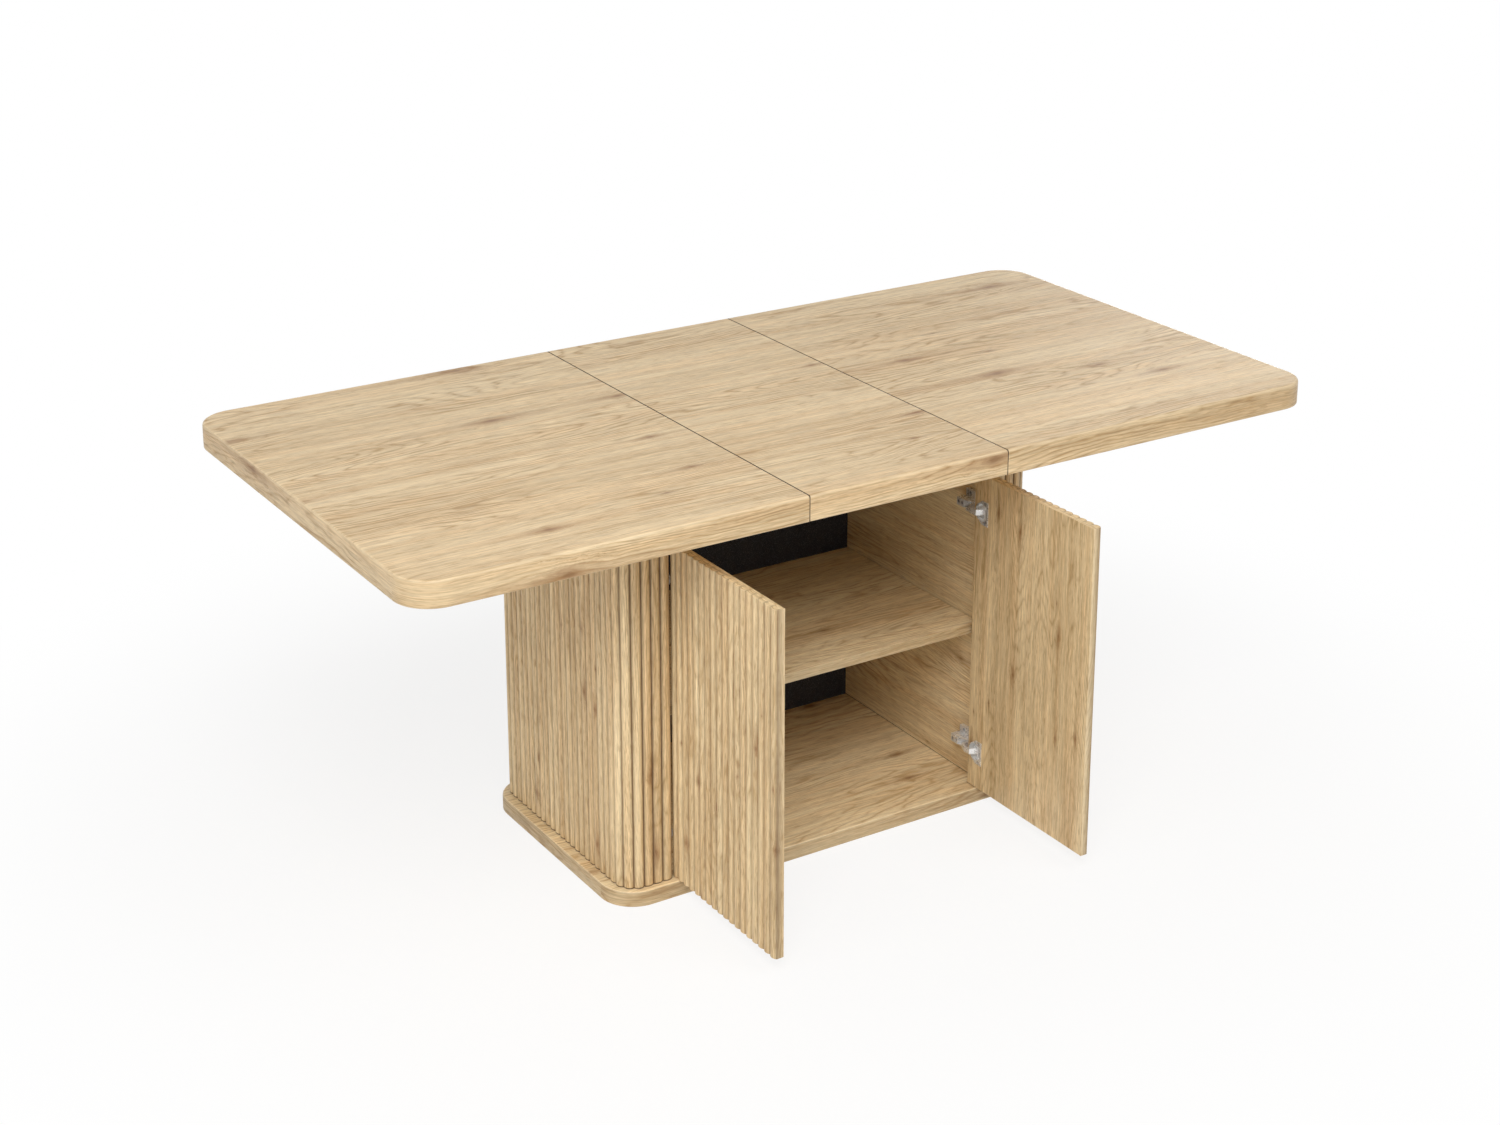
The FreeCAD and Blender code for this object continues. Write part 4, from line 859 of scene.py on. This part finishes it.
def flute_arc(graph, along, flutes, pitch, depth):
    """How far a flute stands out of the valley line, and the painted shade in its valley, from 0
    to 1.
    """
    share = graph.math("FRACT", graph.times_plus(along, flutes, NUDGE))
    offset = graph.times(graph.minus(share, 0.5), pitch)
    half_squared = graph.times(pitch, graph.times(pitch, 0.25))
    radius = graph.over(graph.times_plus(depth, depth, half_squared), graph.times(depth, 2.0))
    arc = graph.math("SQRT", graph.minus(graph.times(radius, radius),
                                         graph.times(offset, offset)))
    crown = graph.math("MAXIMUM", graph.plus(graph.minus(arc, radius), depth), 0.0)
    to_valley = graph.times(graph.over(graph.unsigned(offset), pitch), 2.0)
    return crown, graph.math("POWER", to_valley, VALLEY_FADE)


def wall_grain(graph, cut_from):
    """The grain is upright on a wall's sides and runs along it on the level faces."""
    run, reach = named(graph, "run"), named(graph, "reach")
    height = graph.split(graph.add("GeometryNodeInputPosition").outputs[0])[2]
    normal = graph.split(graph.add("GeometryNodeInputNormal").outputs[0])
    level = graph.math("GREATER_THAN", graph.unsigned(normal[2]), LEVEL)
    upright = graph.combine(height, graph.plus(run, reach))
    choice = graph.add("GeometryNodeSwitch", level, upright, graph.combine(run, reach),
                       input_type="VECTOR")
    return graph.vector("ADD", choice.outputs[0], cut_from)


print("a flute is", FLUTE_DEPTH / MM, "mm deep, in", FLUTE_STEPS, "steps")


# %% The flute tree
def flute_tree():
    graph, given, made = new_group("fluted_wall", "GeometryNodeTree", (
        ("NodeSocketGeometry", "Line", None), ("NodeSocketObject", "Section", None),
        ("NodeSocketInt", "Flutes", 18), ("NodeSocketInt", "Steps", FLUTE_STEPS),
        (FLOAT, "Depth", FLUTE_DEPTH), (VECTOR, "Cut from", None),
        ("NodeSocketMaterial", "Finish", None)), (("NodeSocketGeometry", "Wall"),))
    line = graph.add("GeometryNodeMeshToCurve", given["Line"]).outputs[0]
    points = graph.times_plus(given["Flutes"], given["Steps"], 1.0)
    line = graph.wire(graph.add("GeometryNodeResampleCurve", line), Count=points).outputs[0]
    line = graph.add("GeometryNodeSetCurveNormal", line, mode="Z_UP").outputs[0]

    where = graph.add("GeometryNodeSplineParameter").outputs
    pitch = graph.over(graph.add("GeometryNodeSplineLength").outputs[0], given["Flutes"])
    crown, stained = flute_arc(graph, where["Factor"], given["Flutes"], pitch, given["Depth"])
    outward = graph.add("GeometryNodeInputNormal").outputs[0]
    # Painted shade: the valleys of flutes that face the front or the back are darker still.
    front_or_back = graph.unsigned(graph.split(outward)[1])
    shade_boost = graph.times_plus(front_or_back, FRONT_BACK_SHADE, 1.0)
    line = store(graph, line, "crown", crown)
    line = store(graph, line, "stained", graph.times(stained, shade_boost))
    line = store(graph, line, "run", where["Length"])
    line = store(graph, line, "outward", outward, "FLOAT_VECTOR")

    section = graph.wire(graph.add("GeometryNodeObjectInfo"), Object=given["Section"])
    section = graph.add("GeometryNodeMeshToCurve", section.outputs["Geometry"]).outputs[0]
    sweep = graph.wire(graph.add("GeometryNodeCurveToMesh"), Curve=line, Profile_Curve=section,
                       Fill_Caps=True)
    outer = named(graph, "outer")
    # Painted shade in the valleys, on the outer side only.
    valley = graph.times(named(graph, "stained"), outer)
    wall = store(graph, sweep.outputs[0], "valley", valley)
    # Painted shade along the foot, where the wall stands on the board below.
    wall = store(graph, wall, "seam", named(graph, "foot"))
    push = graph.times(named(graph, "crown"), outer)
    moved = graph.wire(graph.add("GeometryNodeSetPosition", wall),
                       Offset=graph.scaled(named(graph, "outward", "FLOAT_VECTOR"), push))
    wall = store(graph, moved.outputs[0], "grain", wall_grain(graph, given["Cut from"]),
                 "FLOAT_VECTOR", "CORNER")

    angle = graph.add("GeometryNodeInputMeshEdgeAngle").outputs["Unsigned Angle"]
    soft = graph.math("LESS_THAN", angle, SOFT)
    wall = graph.add("GeometryNodeSetShadeSmooth", wall, True, soft, domain="EDGE").outputs[0]
    for name in ("crown", "stained", "run", "outward", "outer", "reach", "foot"):
        wall = graph.add("GeometryNodeRemoveAttribute", wall, name).outputs[0]
    wall = graph.add("GeometryNodeRealizeInstances", wall).outputs[0]
    wall = graph.add("GeometryNodeSetMaterial", wall, True, given["Finish"]).outputs[0]
    graph.feed(made["Wall"], wall)
    return graph.tree


FLUTES = flute_tree()
print("flute tree:", len(FLUTES.nodes), "nodes")

# %% [markdown]
# ## Section, line and modifier
# The section is a closed loop of points in the XY plane: x is how far a point lies outside
# the valley line, and y how far it lies below the wall's foot, so its top has a negative y.
# The attribute `outer` marks the side that the flutes push out, and `foot` the painted
# shade along its lower edge. The wall's own line is drawn at its foot, with the outside on
# its right. A modifier's inputs are set by each socket's identifier, which is looked up by
# name here, before the object is evaluated for the first time.

# %% Helpers for fluted walls
EASE_STEPS = 3                   # steps over an eased edge of a section
FLAT_GUARD = EASE + 0.5 * MM     # from a corner to the point where its side is flat again
FOOT_SHADE_FADE = 2.5 * FLAT_GUARD     # where the painted shade at the foot has faded out


def section_object(name, thickness, height, foot_shade):
    """The upright section of a fluted wall, eased on its four long edges."""
    points = []

    def corner(x, y, x_way, y_way, outer, level_first, foot=0.0):
        turns = [math.pi / 2 * i / EASE_STEPS for i in range(EASE_STEPS + 1)]
        arc = [(x + x_way * EASE * (1 - math.sin(t)), y + y_way * EASE * (1 - math.cos(t)),
                math.sin(2 * t) * (1 - foot), foot) for t in turns]
        arc.insert(0, (x + x_way * FLAT_GUARD, y, 0.0, 0.0))
        arc.append((x, y + y_way * FLAT_GUARD, 0.0, foot))
        # The foot mark is painted shade along the lower outer edge.
        if foot:
            arc.append((x, y + y_way * FOOT_SHADE_FADE, 0.0, 0.0))
        for px, py, mark, line in arc if level_first else arc[::-1]:
            points.append((px, py, outer, mark, line))

    corner(0.0, -height, -1, 1, 1.0, True)
    corner(0.0, 0.0, -1, -1, 1.0, False, foot_shade)
    corner(-thickness, 0.0, 1, -1, 0.0, True)
    corner(-thickness, -height, 1, 1, 0.0, False)
    mesh = bpy.data.meshes.new(name)
    count = len(points)
    mesh.from_pydata([(*point[:2], 0.0) for point in points],
                     [(i, (i + 1) % count) for i in range(count)], [])
    for label, column in (("reach", 0), ("outer", 2), ("edge", 3), ("foot", 4)):
        attribute = mesh.attributes.new(label, "FLOAT", "POINT")
        attribute.data.foreach_set("value", [point[column] for point in points])
    return bpy.data.objects.new(name, mesh)


def line_object(name, points):
    mesh = bpy.data.meshes.new(name)
    mesh.from_pydata(points, [(i, i + 1) for i in range(len(points) - 1)], [])
    return piece_from(name, mesh, None)


def set_input(modifier, label, value):
    for item in modifier.node_group.interface.items_tree:
        if item.item_type == "SOCKET" and item.in_out == "INPUT" and item.name == label:
            modifier[item.identifier] = value


def evaluated_mesh(piece):
    graph = bpy.context.evaluated_depsgraph_get()
    return bpy.data.meshes.new_from_object(piece.evaluated_get(graph))


def fluted_wall(name, line, flutes, thickness, height, cut_from, cutters=(), foot_shade=0.0):
    """Sweeps a fluted wall along a line and returns it as a plain mesh object."""
    section = section_object(name + "_section", thickness, height, foot_shade)
    maker = line_object(name + "_line", line)
    modifier = maker.modifiers.new("flutes", "NODES")
    modifier.node_group = FLUTES
    for label, value in (("Section", section), ("Flutes", flutes), ("Steps", FLUTE_STEPS),
                         ("Depth", FLUTE_DEPTH), ("Cut from", (*cut_from, 0.0)),
                         ("Finish", FLUTED_OAK)):
        set_input(modifier, label, value)
    for cutter in cutters:
        bore = maker.modifiers.new(cutter.name, "BOOLEAN")
        bore.operation = "DIFFERENCE"
        bore.solver = "EXACT"
        bore.object = cutter
    wall = piece_from(name, evaluated_mesh(maker), None)
    for helper in (maker, section, *cutters):
        bpy.data.objects.remove(helper)
    return wall


# %% [markdown]
# ## The cabinet's ends
# Each end is one skin: a short strip beside the door, a corner, the end face, another
# corner and a strip at the back, 33 flutes in all. Its line follows the valleys of the
# flutes, 4 mm inside the crowns, with the outside on its right. The left line is the
# mirror image, drawn the other way round, so the outside stays on its right.

# %% Fluted ends
SKIN_THICKNESS = 9 * MM
BODY_CORNER = 40 * MM
FOOT_SHADE = 0.85             # darkness of the painted shade at the joint between the flutes and the plinth
END_CUTS = (("right", (2.0, 51.3)), ("left", (6.0, 57.7)))   # parts of the oak pattern
END_FLUTES = 33
CORNER_STEPS = 24


def end_line(low, high):
    """The valley line round the right end of the cabinet, from the front strip."""
    front, back, side = low.y + FLUTE_DEPTH, high.y - FLUTE_DEPTH, high.x - FLUTE_DEPTH
    radius = BODY_CORNER - FLUTE_DEPTH
    points = [Vector((low.x, front, low.z))]
    for centre_y, first in ((front + radius, -math.pi / 2), (back - radius, 0.0)):
        for i in range(CORNER_STEPS + 1):
            turn = first + math.pi / 2 * i / CORNER_STEPS
            points.append(Vector((side - radius + radius * math.cos(turn),
                                  centre_y + radius * math.sin(turn), low.z)))
    points.append(Vector((low.x, back, low.z)))
    return points


end_low, end_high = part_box("right_fluted_end")
end_lines = {"right": end_line(end_low, end_high)}
end_lines["left"] = [Vector((-p.x, p.y, p.z)) for p in reversed(end_lines["right"])]
for side, cut_from in END_CUTS:
    wall = fluted_wall(side + "_end_flutes", end_lines[side], END_FLUTES,
                       SKIN_THICKNESS - FLUTE_DEPTH,
                       end_high.z - end_low.z, cut_from, foot_shade=FOOT_SHADE)
    hand_over(wall, side + "_fluted_end")

# %% [markdown]
# ## Doors, back and head rail
# A door is a straight fluted wall, 18 flutes wide. It stands open at a right angle, so its
# outer side looks away from the opening. Two blind bores take the hinge cups: a cylinder
# is taken away from the board at each hinge, a little wider than the cup. The back panel
# and the rail over the doors are straight walls too, and face away from the table's middle.

# %% Straight fluted walls
DOOR_FLUTES = 18
REAR_FLUTES = 36
RAIL_FLUTES = 36
CUP_RADIUS, CUP_DEPTH = 17.5 * MM, 11.5 * MM
CUP_RIM = 0.7 * MM           # rim round the cup
CUP_CLEARANCE = 0.2 * MM
BORE_SIDES = 64
BORE_START = 2 * MM          # how far outside the door's face a bore starts


def box_parts(node):
    """The boxes of the separate solids of a drawn piece, lowest first."""
    bm = bmesh.new()
    bm.from_mesh(NODES[node].data)
    bmesh.ops.remove_doubles(bm, verts=bm.verts, dist=WELD)
    unseen = set(bm.verts)
    boxes = []
    while unseen:
        front, island = [unseen.pop()], []
        while front:
            vertex = front.pop()
            island.append(vertex.co.copy())
            for edge in vertex.link_edges:
                other = edge.other_vert(vertex)
                if other in unseen:
                    unseen.remove(other)
                    front.append(other)
        boxes.append((Vector(map(min, *island)), Vector(map(max, *island))))
    bm.free()
    return sorted(boxes, key=lambda box: (round(box[0].z, 4), round(box[0].y, 4),
                                          round(box[0].x, 4)))


def bore_cutter(name, centre, radius, depth, way):
    """A cylinder along X that starts a little outside a door's inner face."""
    bm = bmesh.new()
    bmesh.ops.create_cone(bm, cap_ends=True, segments=BORE_SIDES, radius1=radius,
                          radius2=radius, depth=depth + BORE_START)
    turn = Matrix.Rotation(math.pi / 2, 4, "Y")
    middle = centre + Vector((way * (depth - BORE_START) / 2, 0.0, 0.0))
    bmesh.ops.transform(bm, matrix=Matrix.Translation(middle) @ turn, verts=bm.verts)
    return piece_from(name, bm, FLUTED_OAK)


for side, way, cut_from in (("left", -1, (11.0, 63.1)), ("right", 1, (15.0, 69.9))):
    node = side + "_door"
    low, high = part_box(node)
    outer_x = (low.x if way < 0 else high.x) - way * FLUTE_DEPTH
    inner_x = high.x if way < 0 else low.x
    ends = (high.y, low.y) if way < 0 else (low.y, high.y)
    cutters = []
    for number, (cup_low, cup_high) in enumerate(box_parts(side + "_hinge_cups")):
        centre = Vector((inner_x, cup_high.y - CUP_RADIUS - CUP_RIM,
                         (cup_low.z + cup_high.z) / 2))
        cutters.append(bore_cutter(f"{side}_bore_{number}", centre, CUP_RADIUS + CUP_CLEARANCE,
                                   CUP_DEPTH + CUP_CLEARANCE, way))
    wall = fluted_wall(node + "_fluted", [Vector((outer_x, y, low.z)) for y in ends],
                       DOOR_FLUTES, high.x - low.x - FLUTE_DEPTH, high.z - low.z, cut_from,
                       cutters)
    hand_over(wall, node)

for name, node, flutes, way, cut_from in (
        ("rear_panel_fluted", "rear_fluted_panel", REAR_FLUTES, 1, (19.0, 75.5)),
        ("head_rail_fluted", "fluted_head_rail", RAIL_FLUTES, -1, (23.0, 81.2))):
    low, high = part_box(node)
    y = (low.y if way < 0 else high.y) - way * FLUTE_DEPTH
    ends = (low.x, high.x) if way < 0 else (high.x, low.x)
    wall = fluted_wall(name, [Vector((x, y, low.z)) for x in ends], flutes,
                       high.y - low.y - FLUTE_DEPTH, high.z - low.z, cut_from)
    hand_over(wall, node)

# %% [markdown]
# ## Metal pieces with eased edges
# Folded and drawn metal never has a razor edge, and the thin bright line along an edge is
# what makes it look like metal. These pieces have the right shape in the drawn model, so a
# copy is taken: its loose triangles are welded, its flat faces are joined up, and every
# sharp edge gets a small rounding. Round parts are shaded smooth, up to an angle. The
# nylon stops and the beech cleats are made in the same way, with larger roundings.

# %% The edge easer
EASED_MARK = 0.7                          # the `edge` mark on an eased edge
FLAT = math.radians(1)                    # faces that turn less than this are joined up
HINGE_EASE, STEEL_EASE = 0.25 * MM, 0.4 * MM
NYLON_EASE, BEECH_EASE = 0.6 * MM, 1.0 * MM


def eased_copy(node, name, material, ease):
    bm = bmesh.new()
    bm.from_mesh(NODES[node].data)
    bmesh.ops.remove_doubles(bm, verts=bm.verts, dist=WELD)
    bmesh.ops.dissolve_limit(bm, angle_limit=FLAT, verts=bm.verts, edges=bm.edges)
    edge = bm.verts.layers.float.new("edge")
    sharp = [e for e in bm.edges if len(e.link_faces) == 2 and e.calc_face_angle() > SHARP]
    result = bmesh.ops.bevel(bm, geom=sharp, offset=ease, segments=2, profile=0.5,
                             affect="EDGES", clamp_overlap=True)
    for face in result["faces"]:
        for vertex in face.verts:
            vertex[edge] = EASED_MARK
    for face in bm.faces:
        face.smooth = True
    piece = piece_from(name, bm, material)
    piece.data.set_sharp_from_angle(angle=SHARP)
    return piece


METALS = {
    "nickel": (HINGE_NICKEL, HINGE_EASE, "hinge_chrome",
               ("hinge_plates", "hinge_arms", "hinge_links", "hinge_cups")),
    "steel": (SLIDE_STEEL, STEEL_EASE, "slide_steel",
              ("front_track", "front_runner", "rear_track", "rear_runner")),
}
for side in ("left", "right"):
    for metal, (material, ease, slot, kinds) in METALS.items():
        for kind in kinds:
            node = f"{side}_{kind}"
            hand_over(eased_copy(node, f"{node}_{metal}", material, ease), node)
hand_over(eased_copy("track_stops", "track_stops_nylon", BLACK_NYLON, NYLON_EASE),
          "track_stops")
hand_over(eased_copy("middle_leaf_cleats", "leaf_cleats_beech", BEECH, BEECH_EASE),
          "middle_leaf_cleats")

# %% [markdown]
# ## Screws, with Geometry Nodes
# A screw is turned and its cross is pressed in. So a master is modelled for each set: a
# lathe profile with a flat head, a cone, a thread and a point, and a cross recess in the
# head. Geometry Nodes then set a copy at every place, turned towards the board. A fixed
# seed gives each copy a turn of its own, because no fitter lines screws up.

# %% The master screw
SCREW_SIDES = 20
THREAD_PITCH = 1.6 * MM
THREAD_VALLEY, THREAD_CREST = 0.25, 0.75     # where both lie in one turn of the thread
CORE, ROOT = 0.78, 0.8       # of the shank's radius: the core, and the start of the point
POINT, THREAD_END = 1.5, 3.0 # of that radius too: how far from the tip both end
FACE, RIM = 0.96, 0.12 * MM  # the flat face, of the head's radius, and how far its rim drops
CROSS_REACH, CROSS_HALF = 0.56, 0.13     # of the head's radius: the arms of the cross
CROSS_TAPER, CROSS_DEPTH = 0.72, 0.55    # the cross narrows, and part of the head is its depth


def screw_profile(radius, head_radius, head_height, length):
    """Radius and height from the head's rim to the start of the point."""
    profile = [(head_radius * FACE, 0.0), (head_radius, -RIM), (radius, -head_height)]
    down = head_height
    while down < length - THREAD_END * radius:
        profile += [(radius * CORE, -down - THREAD_VALLEY * THREAD_PITCH),
                    (radius, -down - THREAD_CREST * THREAD_PITCH)]
        down += THREAD_PITCH
    return profile + [(radius * ROOT, -length + POINT * radius)]


def cross_recess(bm, head_rim, head_radius, head_height):
    """The face of the head, from its rim to the cross that is sunk into it."""
    cross, sunk = [], []
    arm, half = head_radius * CROSS_REACH, head_radius * CROSS_HALF
    for quarter in range(4):
        turn = Matrix.Rotation(quarter * math.pi / 2, 4, "Z")
        for x, y in ((half, -half), (arm, -half), (arm, half)):
            point = turn @ Vector((x, y, 0.0))
            cross.append(bm.verts.new(point))
            sunk.append(bm.verts.new((point.x * CROSS_TAPER, point.y * CROSS_TAPER,
                                      -head_height * CROSS_DEPTH)))
    count = len(cross)
    per_point = SCREW_SIDES // 4
    for quarter in range(4):
        first = quarter * 3
        rim = [head_rim[(quarter * per_point + i - per_point // 2) % SCREW_SIDES]
               for i in range(per_point + 1)]
        bm.faces.new(rim + [cross[(first + 3) % count]] + cross[first:first + 3][::-1])
    for i in range(count):
        j = (i + 1) % count
        bm.faces.new((cross[i], cross[j], sunk[j], sunk[i]))
    bm.faces.new(sunk)


def screw_master(name, radius, head_radius, head_height, length):
    """A countersunk screw along -Z, its head's face at z = 0."""
    bm = bmesh.new()
    rings = []
    for r, z in screw_profile(radius, head_radius, head_height, length):
        rings.append([bm.verts.new((r * math.cos(a), r * math.sin(a), z)) for a in
                      (2 * math.pi * i / SCREW_SIDES for i in range(SCREW_SIDES))])
    tip = bm.verts.new((0.0, 0.0, -length))
    for upper, lower in zip(rings, rings[1:]):
        for i in range(SCREW_SIDES):
            j = (i + 1) % SCREW_SIDES
            bm.faces.new((upper[i], lower[i], lower[j], upper[j]))
    for i in range(SCREW_SIDES):
        bm.faces.new((rings[-1][i], tip, rings[-1][(i + 1) % SCREW_SIDES]))
    cross_recess(bm, rings[0], head_radius, head_height)
    bmesh.ops.recalc_face_normals(bm, faces=bm.faces)
    for face in bm.faces:
        face.smooth = True
    master = piece_from(name, bm, SCREW_ZINC)
    master.data.set_sharp_from_angle(angle=SHARP)
    return master


# %% The screw tree
def screw_tree():
    graph, given, made = new_group("screw_places", "GeometryNodeTree", (
        ("NodeSocketGeometry", "Places", None), ("NodeSocketObject", "Screw", None),
        (VECTOR, "Into", None), ("NodeSocketInt", "Seed", 7),
        ("NodeSocketMaterial", "Finish", None)), (("NodeSocketGeometry", "Screws"),))
    points = graph.add("GeometryNodeMeshToPoints", given["Places"]).outputs[0]
    aim = graph.wire(graph.add("FunctionNodeAlignRotationToVector", axis="Z"),
                     Vector=graph.scaled(given["Into"], -1.0))
    chance = graph.add("FunctionNodeRandomValue", data_type="FLOAT")
    for socket, value in zip([s for s in chance.inputs if s.enabled], (0.0, math.pi / 2)):
        graph.feed(socket, value)
    graph.feed(chance.inputs["Seed"], given["Seed"])
    spin = graph.wire(graph.add("FunctionNodeAxisAngleToRotation"), Axis=(0.0, 0.0, 1.0),
                      Angle=[s for s in chance.outputs if s.enabled][0])
    turned = graph.add("FunctionNodeRotateRotation", aim.outputs[0], spin.outputs[0],
                       rotation_space="LOCAL")
    screw = graph.wire(graph.add("GeometryNodeObjectInfo"), Object=given["Screw"])
    copies = graph.wire(graph.add("GeometryNodeInstanceOnPoints", points),
                        Instance=screw.outputs["Geometry"], Rotation=turned.outputs[0])
    real = graph.add("GeometryNodeRealizeInstances", copies.outputs[0]).outputs[0]
    graph.feed(made["Screws"],
               graph.add("GeometryNodeSetMaterial", real, True, given["Finish"]).outputs[0])
    return graph.tree


SCREWS = screw_tree()
print("screw tree:", len(SCREWS.nodes), "nodes")

# %% [markdown]
# ## Setting the screws
# The places come from the drawn model: each separate solid of a screw piece has a box, and
# the head lies at one end of it. `into` is the way that the screw is driven.

# %% Screws in their places
UPWARDS, DOWNWARDS = Vector((0, 0, 1)), Vector((0, 0, -1))
TO_RIGHT, TO_LEFT = Vector((1, 0, 0)), Vector((-1, 0, 0))
SCREW_KINDS = {                         # shank radius, head radius, head height, in mm
    "board": (2.0, 4.0, 3.0),
    "fitting": (1.6, 3.2, 1.6),
}
SCREW_PIECES = [("plinth_screws", "board", UPWARDS), ("cap_screws", "board", DOWNWARDS),
                ("middle_leaf_screws", "board", UPWARDS), ("track_screws", "fitting", DOWNWARDS)]
for side, outwards in (("left", TO_LEFT), ("right", TO_RIGHT)):
    SCREW_PIECES.append((side + "_runner_screws", "fitting", UPWARDS))
    for kind in ("plate", "arm", "cup"):
        SCREW_PIECES.append((f"{side}_{kind}_screws", "fitting", outwards))

for seed, (node, kind, into) in enumerate(SCREW_PIECES):
    places, lengths = [], []
    for low, high in box_parts(node):
        length = abs((high - low).dot(into))
        places.append((low + high) / 2 - into * length / 2)
        lengths.append(length)
    sizes = [value * MM for value in SCREW_KINDS[kind]]
    master = screw_master(node + "_master", *sizes, lengths[0])
    holder_mesh = bpy.data.meshes.new(node + "_places")
    holder_mesh.from_pydata(places, [], [])
    holder = piece_from(node + "_places", holder_mesh, None)
    modifier = holder.modifiers.new("screws", "NODES")
    modifier.node_group = SCREWS
    for label, value in (("Screw", master), ("Into", tuple(into)), ("Seed", seed),
                         ("Finish", SCREW_ZINC)):
        set_input(modifier, label, value)
    screws = piece_from(node + "_zinc", evaluated_mesh(holder), None)
    for helper in (holder, master):
        bpy.data.objects.remove(helper)
    hand_over(screws, node)

# %% [markdown]
# ## Finishes on drawn pieces
# The pieces that are left have the right shape already: hidden ribs, dowels and pins. They
# keep their drawn meshes and only get a finish, put into the object's material slots.

# %% Finishes for the rest
DRAWN_FINISHES = {"panel_dowels": BEECH, "shelf_pins": SLIDE_STEEL}
for side in ("left", "right"):
    for level in ("lower", "middle", "upper"):
        DRAWN_FINISHES[f"{side}_{level}_rib"] = RIB_BOARD
    DRAWN_FINISHES[side + "_hinge_pins"] = HINGE_NICKEL
    DRAWN_FINISHES[side + "_hinge_cup_pins"] = HINGE_NICKEL
for node, material in DRAWN_FINISHES.items():
    mesh_materials = NODES[node].data.materials
    mesh_materials.clear()
    mesh_materials.append(material)
print("finished as drawn:", ", ".join(sorted(DRAWN_FINISHES)))

# %% [markdown]
# ## Floor, world and lamps
# The setting is a bright, even studio: a pale floor without an edge, a world that lights
# from all round, a large soft lamp high at the front left, a weaker one on each side, and a
# low one behind at the right, which keeps the far end from going flat. To the camera, and
# in reflections, the world and the far floor are plain white. Near the table the floor is
# partly the real lit floor, so that it keeps a faint shadow.

# %% The setting
FLOOR_HALF = 40.0
WORLD_LIGHT = 0.27
SHADOW_SHARE = 0.18           # of the lit floor in the floor that is seen
SHADOW_REACH = (0.7, 1.8)     # the lit floor fades out between these radii
LAMP_TARGET = (0.0, 0.0, 0.4)
LAMPS = (                     # name, place, width in metres, watts
    ("key", (-2.2, -3.4, 4.2), 3.0, 168.0),
    ("left", (-5.0, -1.2, 2.6), 3.0, 44.0),
    ("right", (1.5, -3.0, 4.4), 3.0, 54.0),
    ("back", (4.2, 3.4, 0.9), 1.6, 36.0),
)


def seen_directly(graph):
    """1 for what the camera or a mirror sees, 0 for light that bounces."""
    path = graph.add("ShaderNodeLightPath").outputs
    seen = graph.math("MAXIMUM", path["Is Camera Ray"], path["Is Glossy Ray"])
    return graph.math("MAXIMUM", seen, path["Is Transmission Ray"])


def build_world():
    world = bpy.data.worlds.new("studio")
    bpy.context.scene.world = world
    world.use_nodes = True
    world.node_tree.nodes.clear()
    graph = Graph(world.node_tree)
    light = graph.add("ShaderNodeBackground", linear(255, 252, 247), WORLD_LIGHT)
    white = graph.add("ShaderNodeBackground", (1.0, 1.0, 1.0, 1.0), 1.0)
    choice = graph.add("ShaderNodeMixShader", seen_directly(graph), light.outputs[0],
                       white.outputs[0])
    graph.add("ShaderNodeOutputWorld", choice.outputs[0])


def build_floor():
    corners = [(-FLOOR_HALF, -FLOOR_HALF, 0.0), (FLOOR_HALF, -FLOOR_HALF, 0.0),
               (FLOOR_HALF, FLOOR_HALF, 0.0), (-FLOOR_HALF, FLOOR_HALF, 0.0)]
    mesh = bpy.data.meshes.new("floor")
    mesh.from_pydata(corners, [], [(0, 1, 2, 3)])
    material, graph = new_material("floor")
    lit = graph.add("ShaderNodeBsdfDiffuse", linear(250, 249, 247))
    white = graph.add("ShaderNodeEmission", (1.0, 1.0, 1.0, 1.0), 1.0)
    near = graph.ranged(graph.vector("LENGTH", object_place(graph)), *SHADOW_REACH,
                        1.0 - SHADOW_SHARE, 1.0)
    share = graph.times(near, seen_directly(graph))
    choice = graph.add("ShaderNodeMixShader", share, lit.outputs[0], white.outputs[0])
    graph.add("ShaderNodeOutputMaterial", choice.outputs[0])
    piece_from("floor", mesh, material)


def soft_lamp(name, place, width, power):
    data = bpy.data.lights.new(name, "AREA")
    data.shape = "DISK"
    data.size = width
    data.energy = power
    lamp = bpy.data.objects.new(name, data)
    lamp.location = place
    aim = Vector(LAMP_TARGET) - Vector(place)
    lamp.rotation_euler = aim.to_track_quat("-Z", "Y").to_euler()
    bpy.context.scene.collection.objects.link(lamp)


build_world()
build_floor()
for lamp in LAMPS:
    soft_lamp(*lamp)
print("world", WORLD_LIGHT, "and", len(LAMPS), "soft lamps")
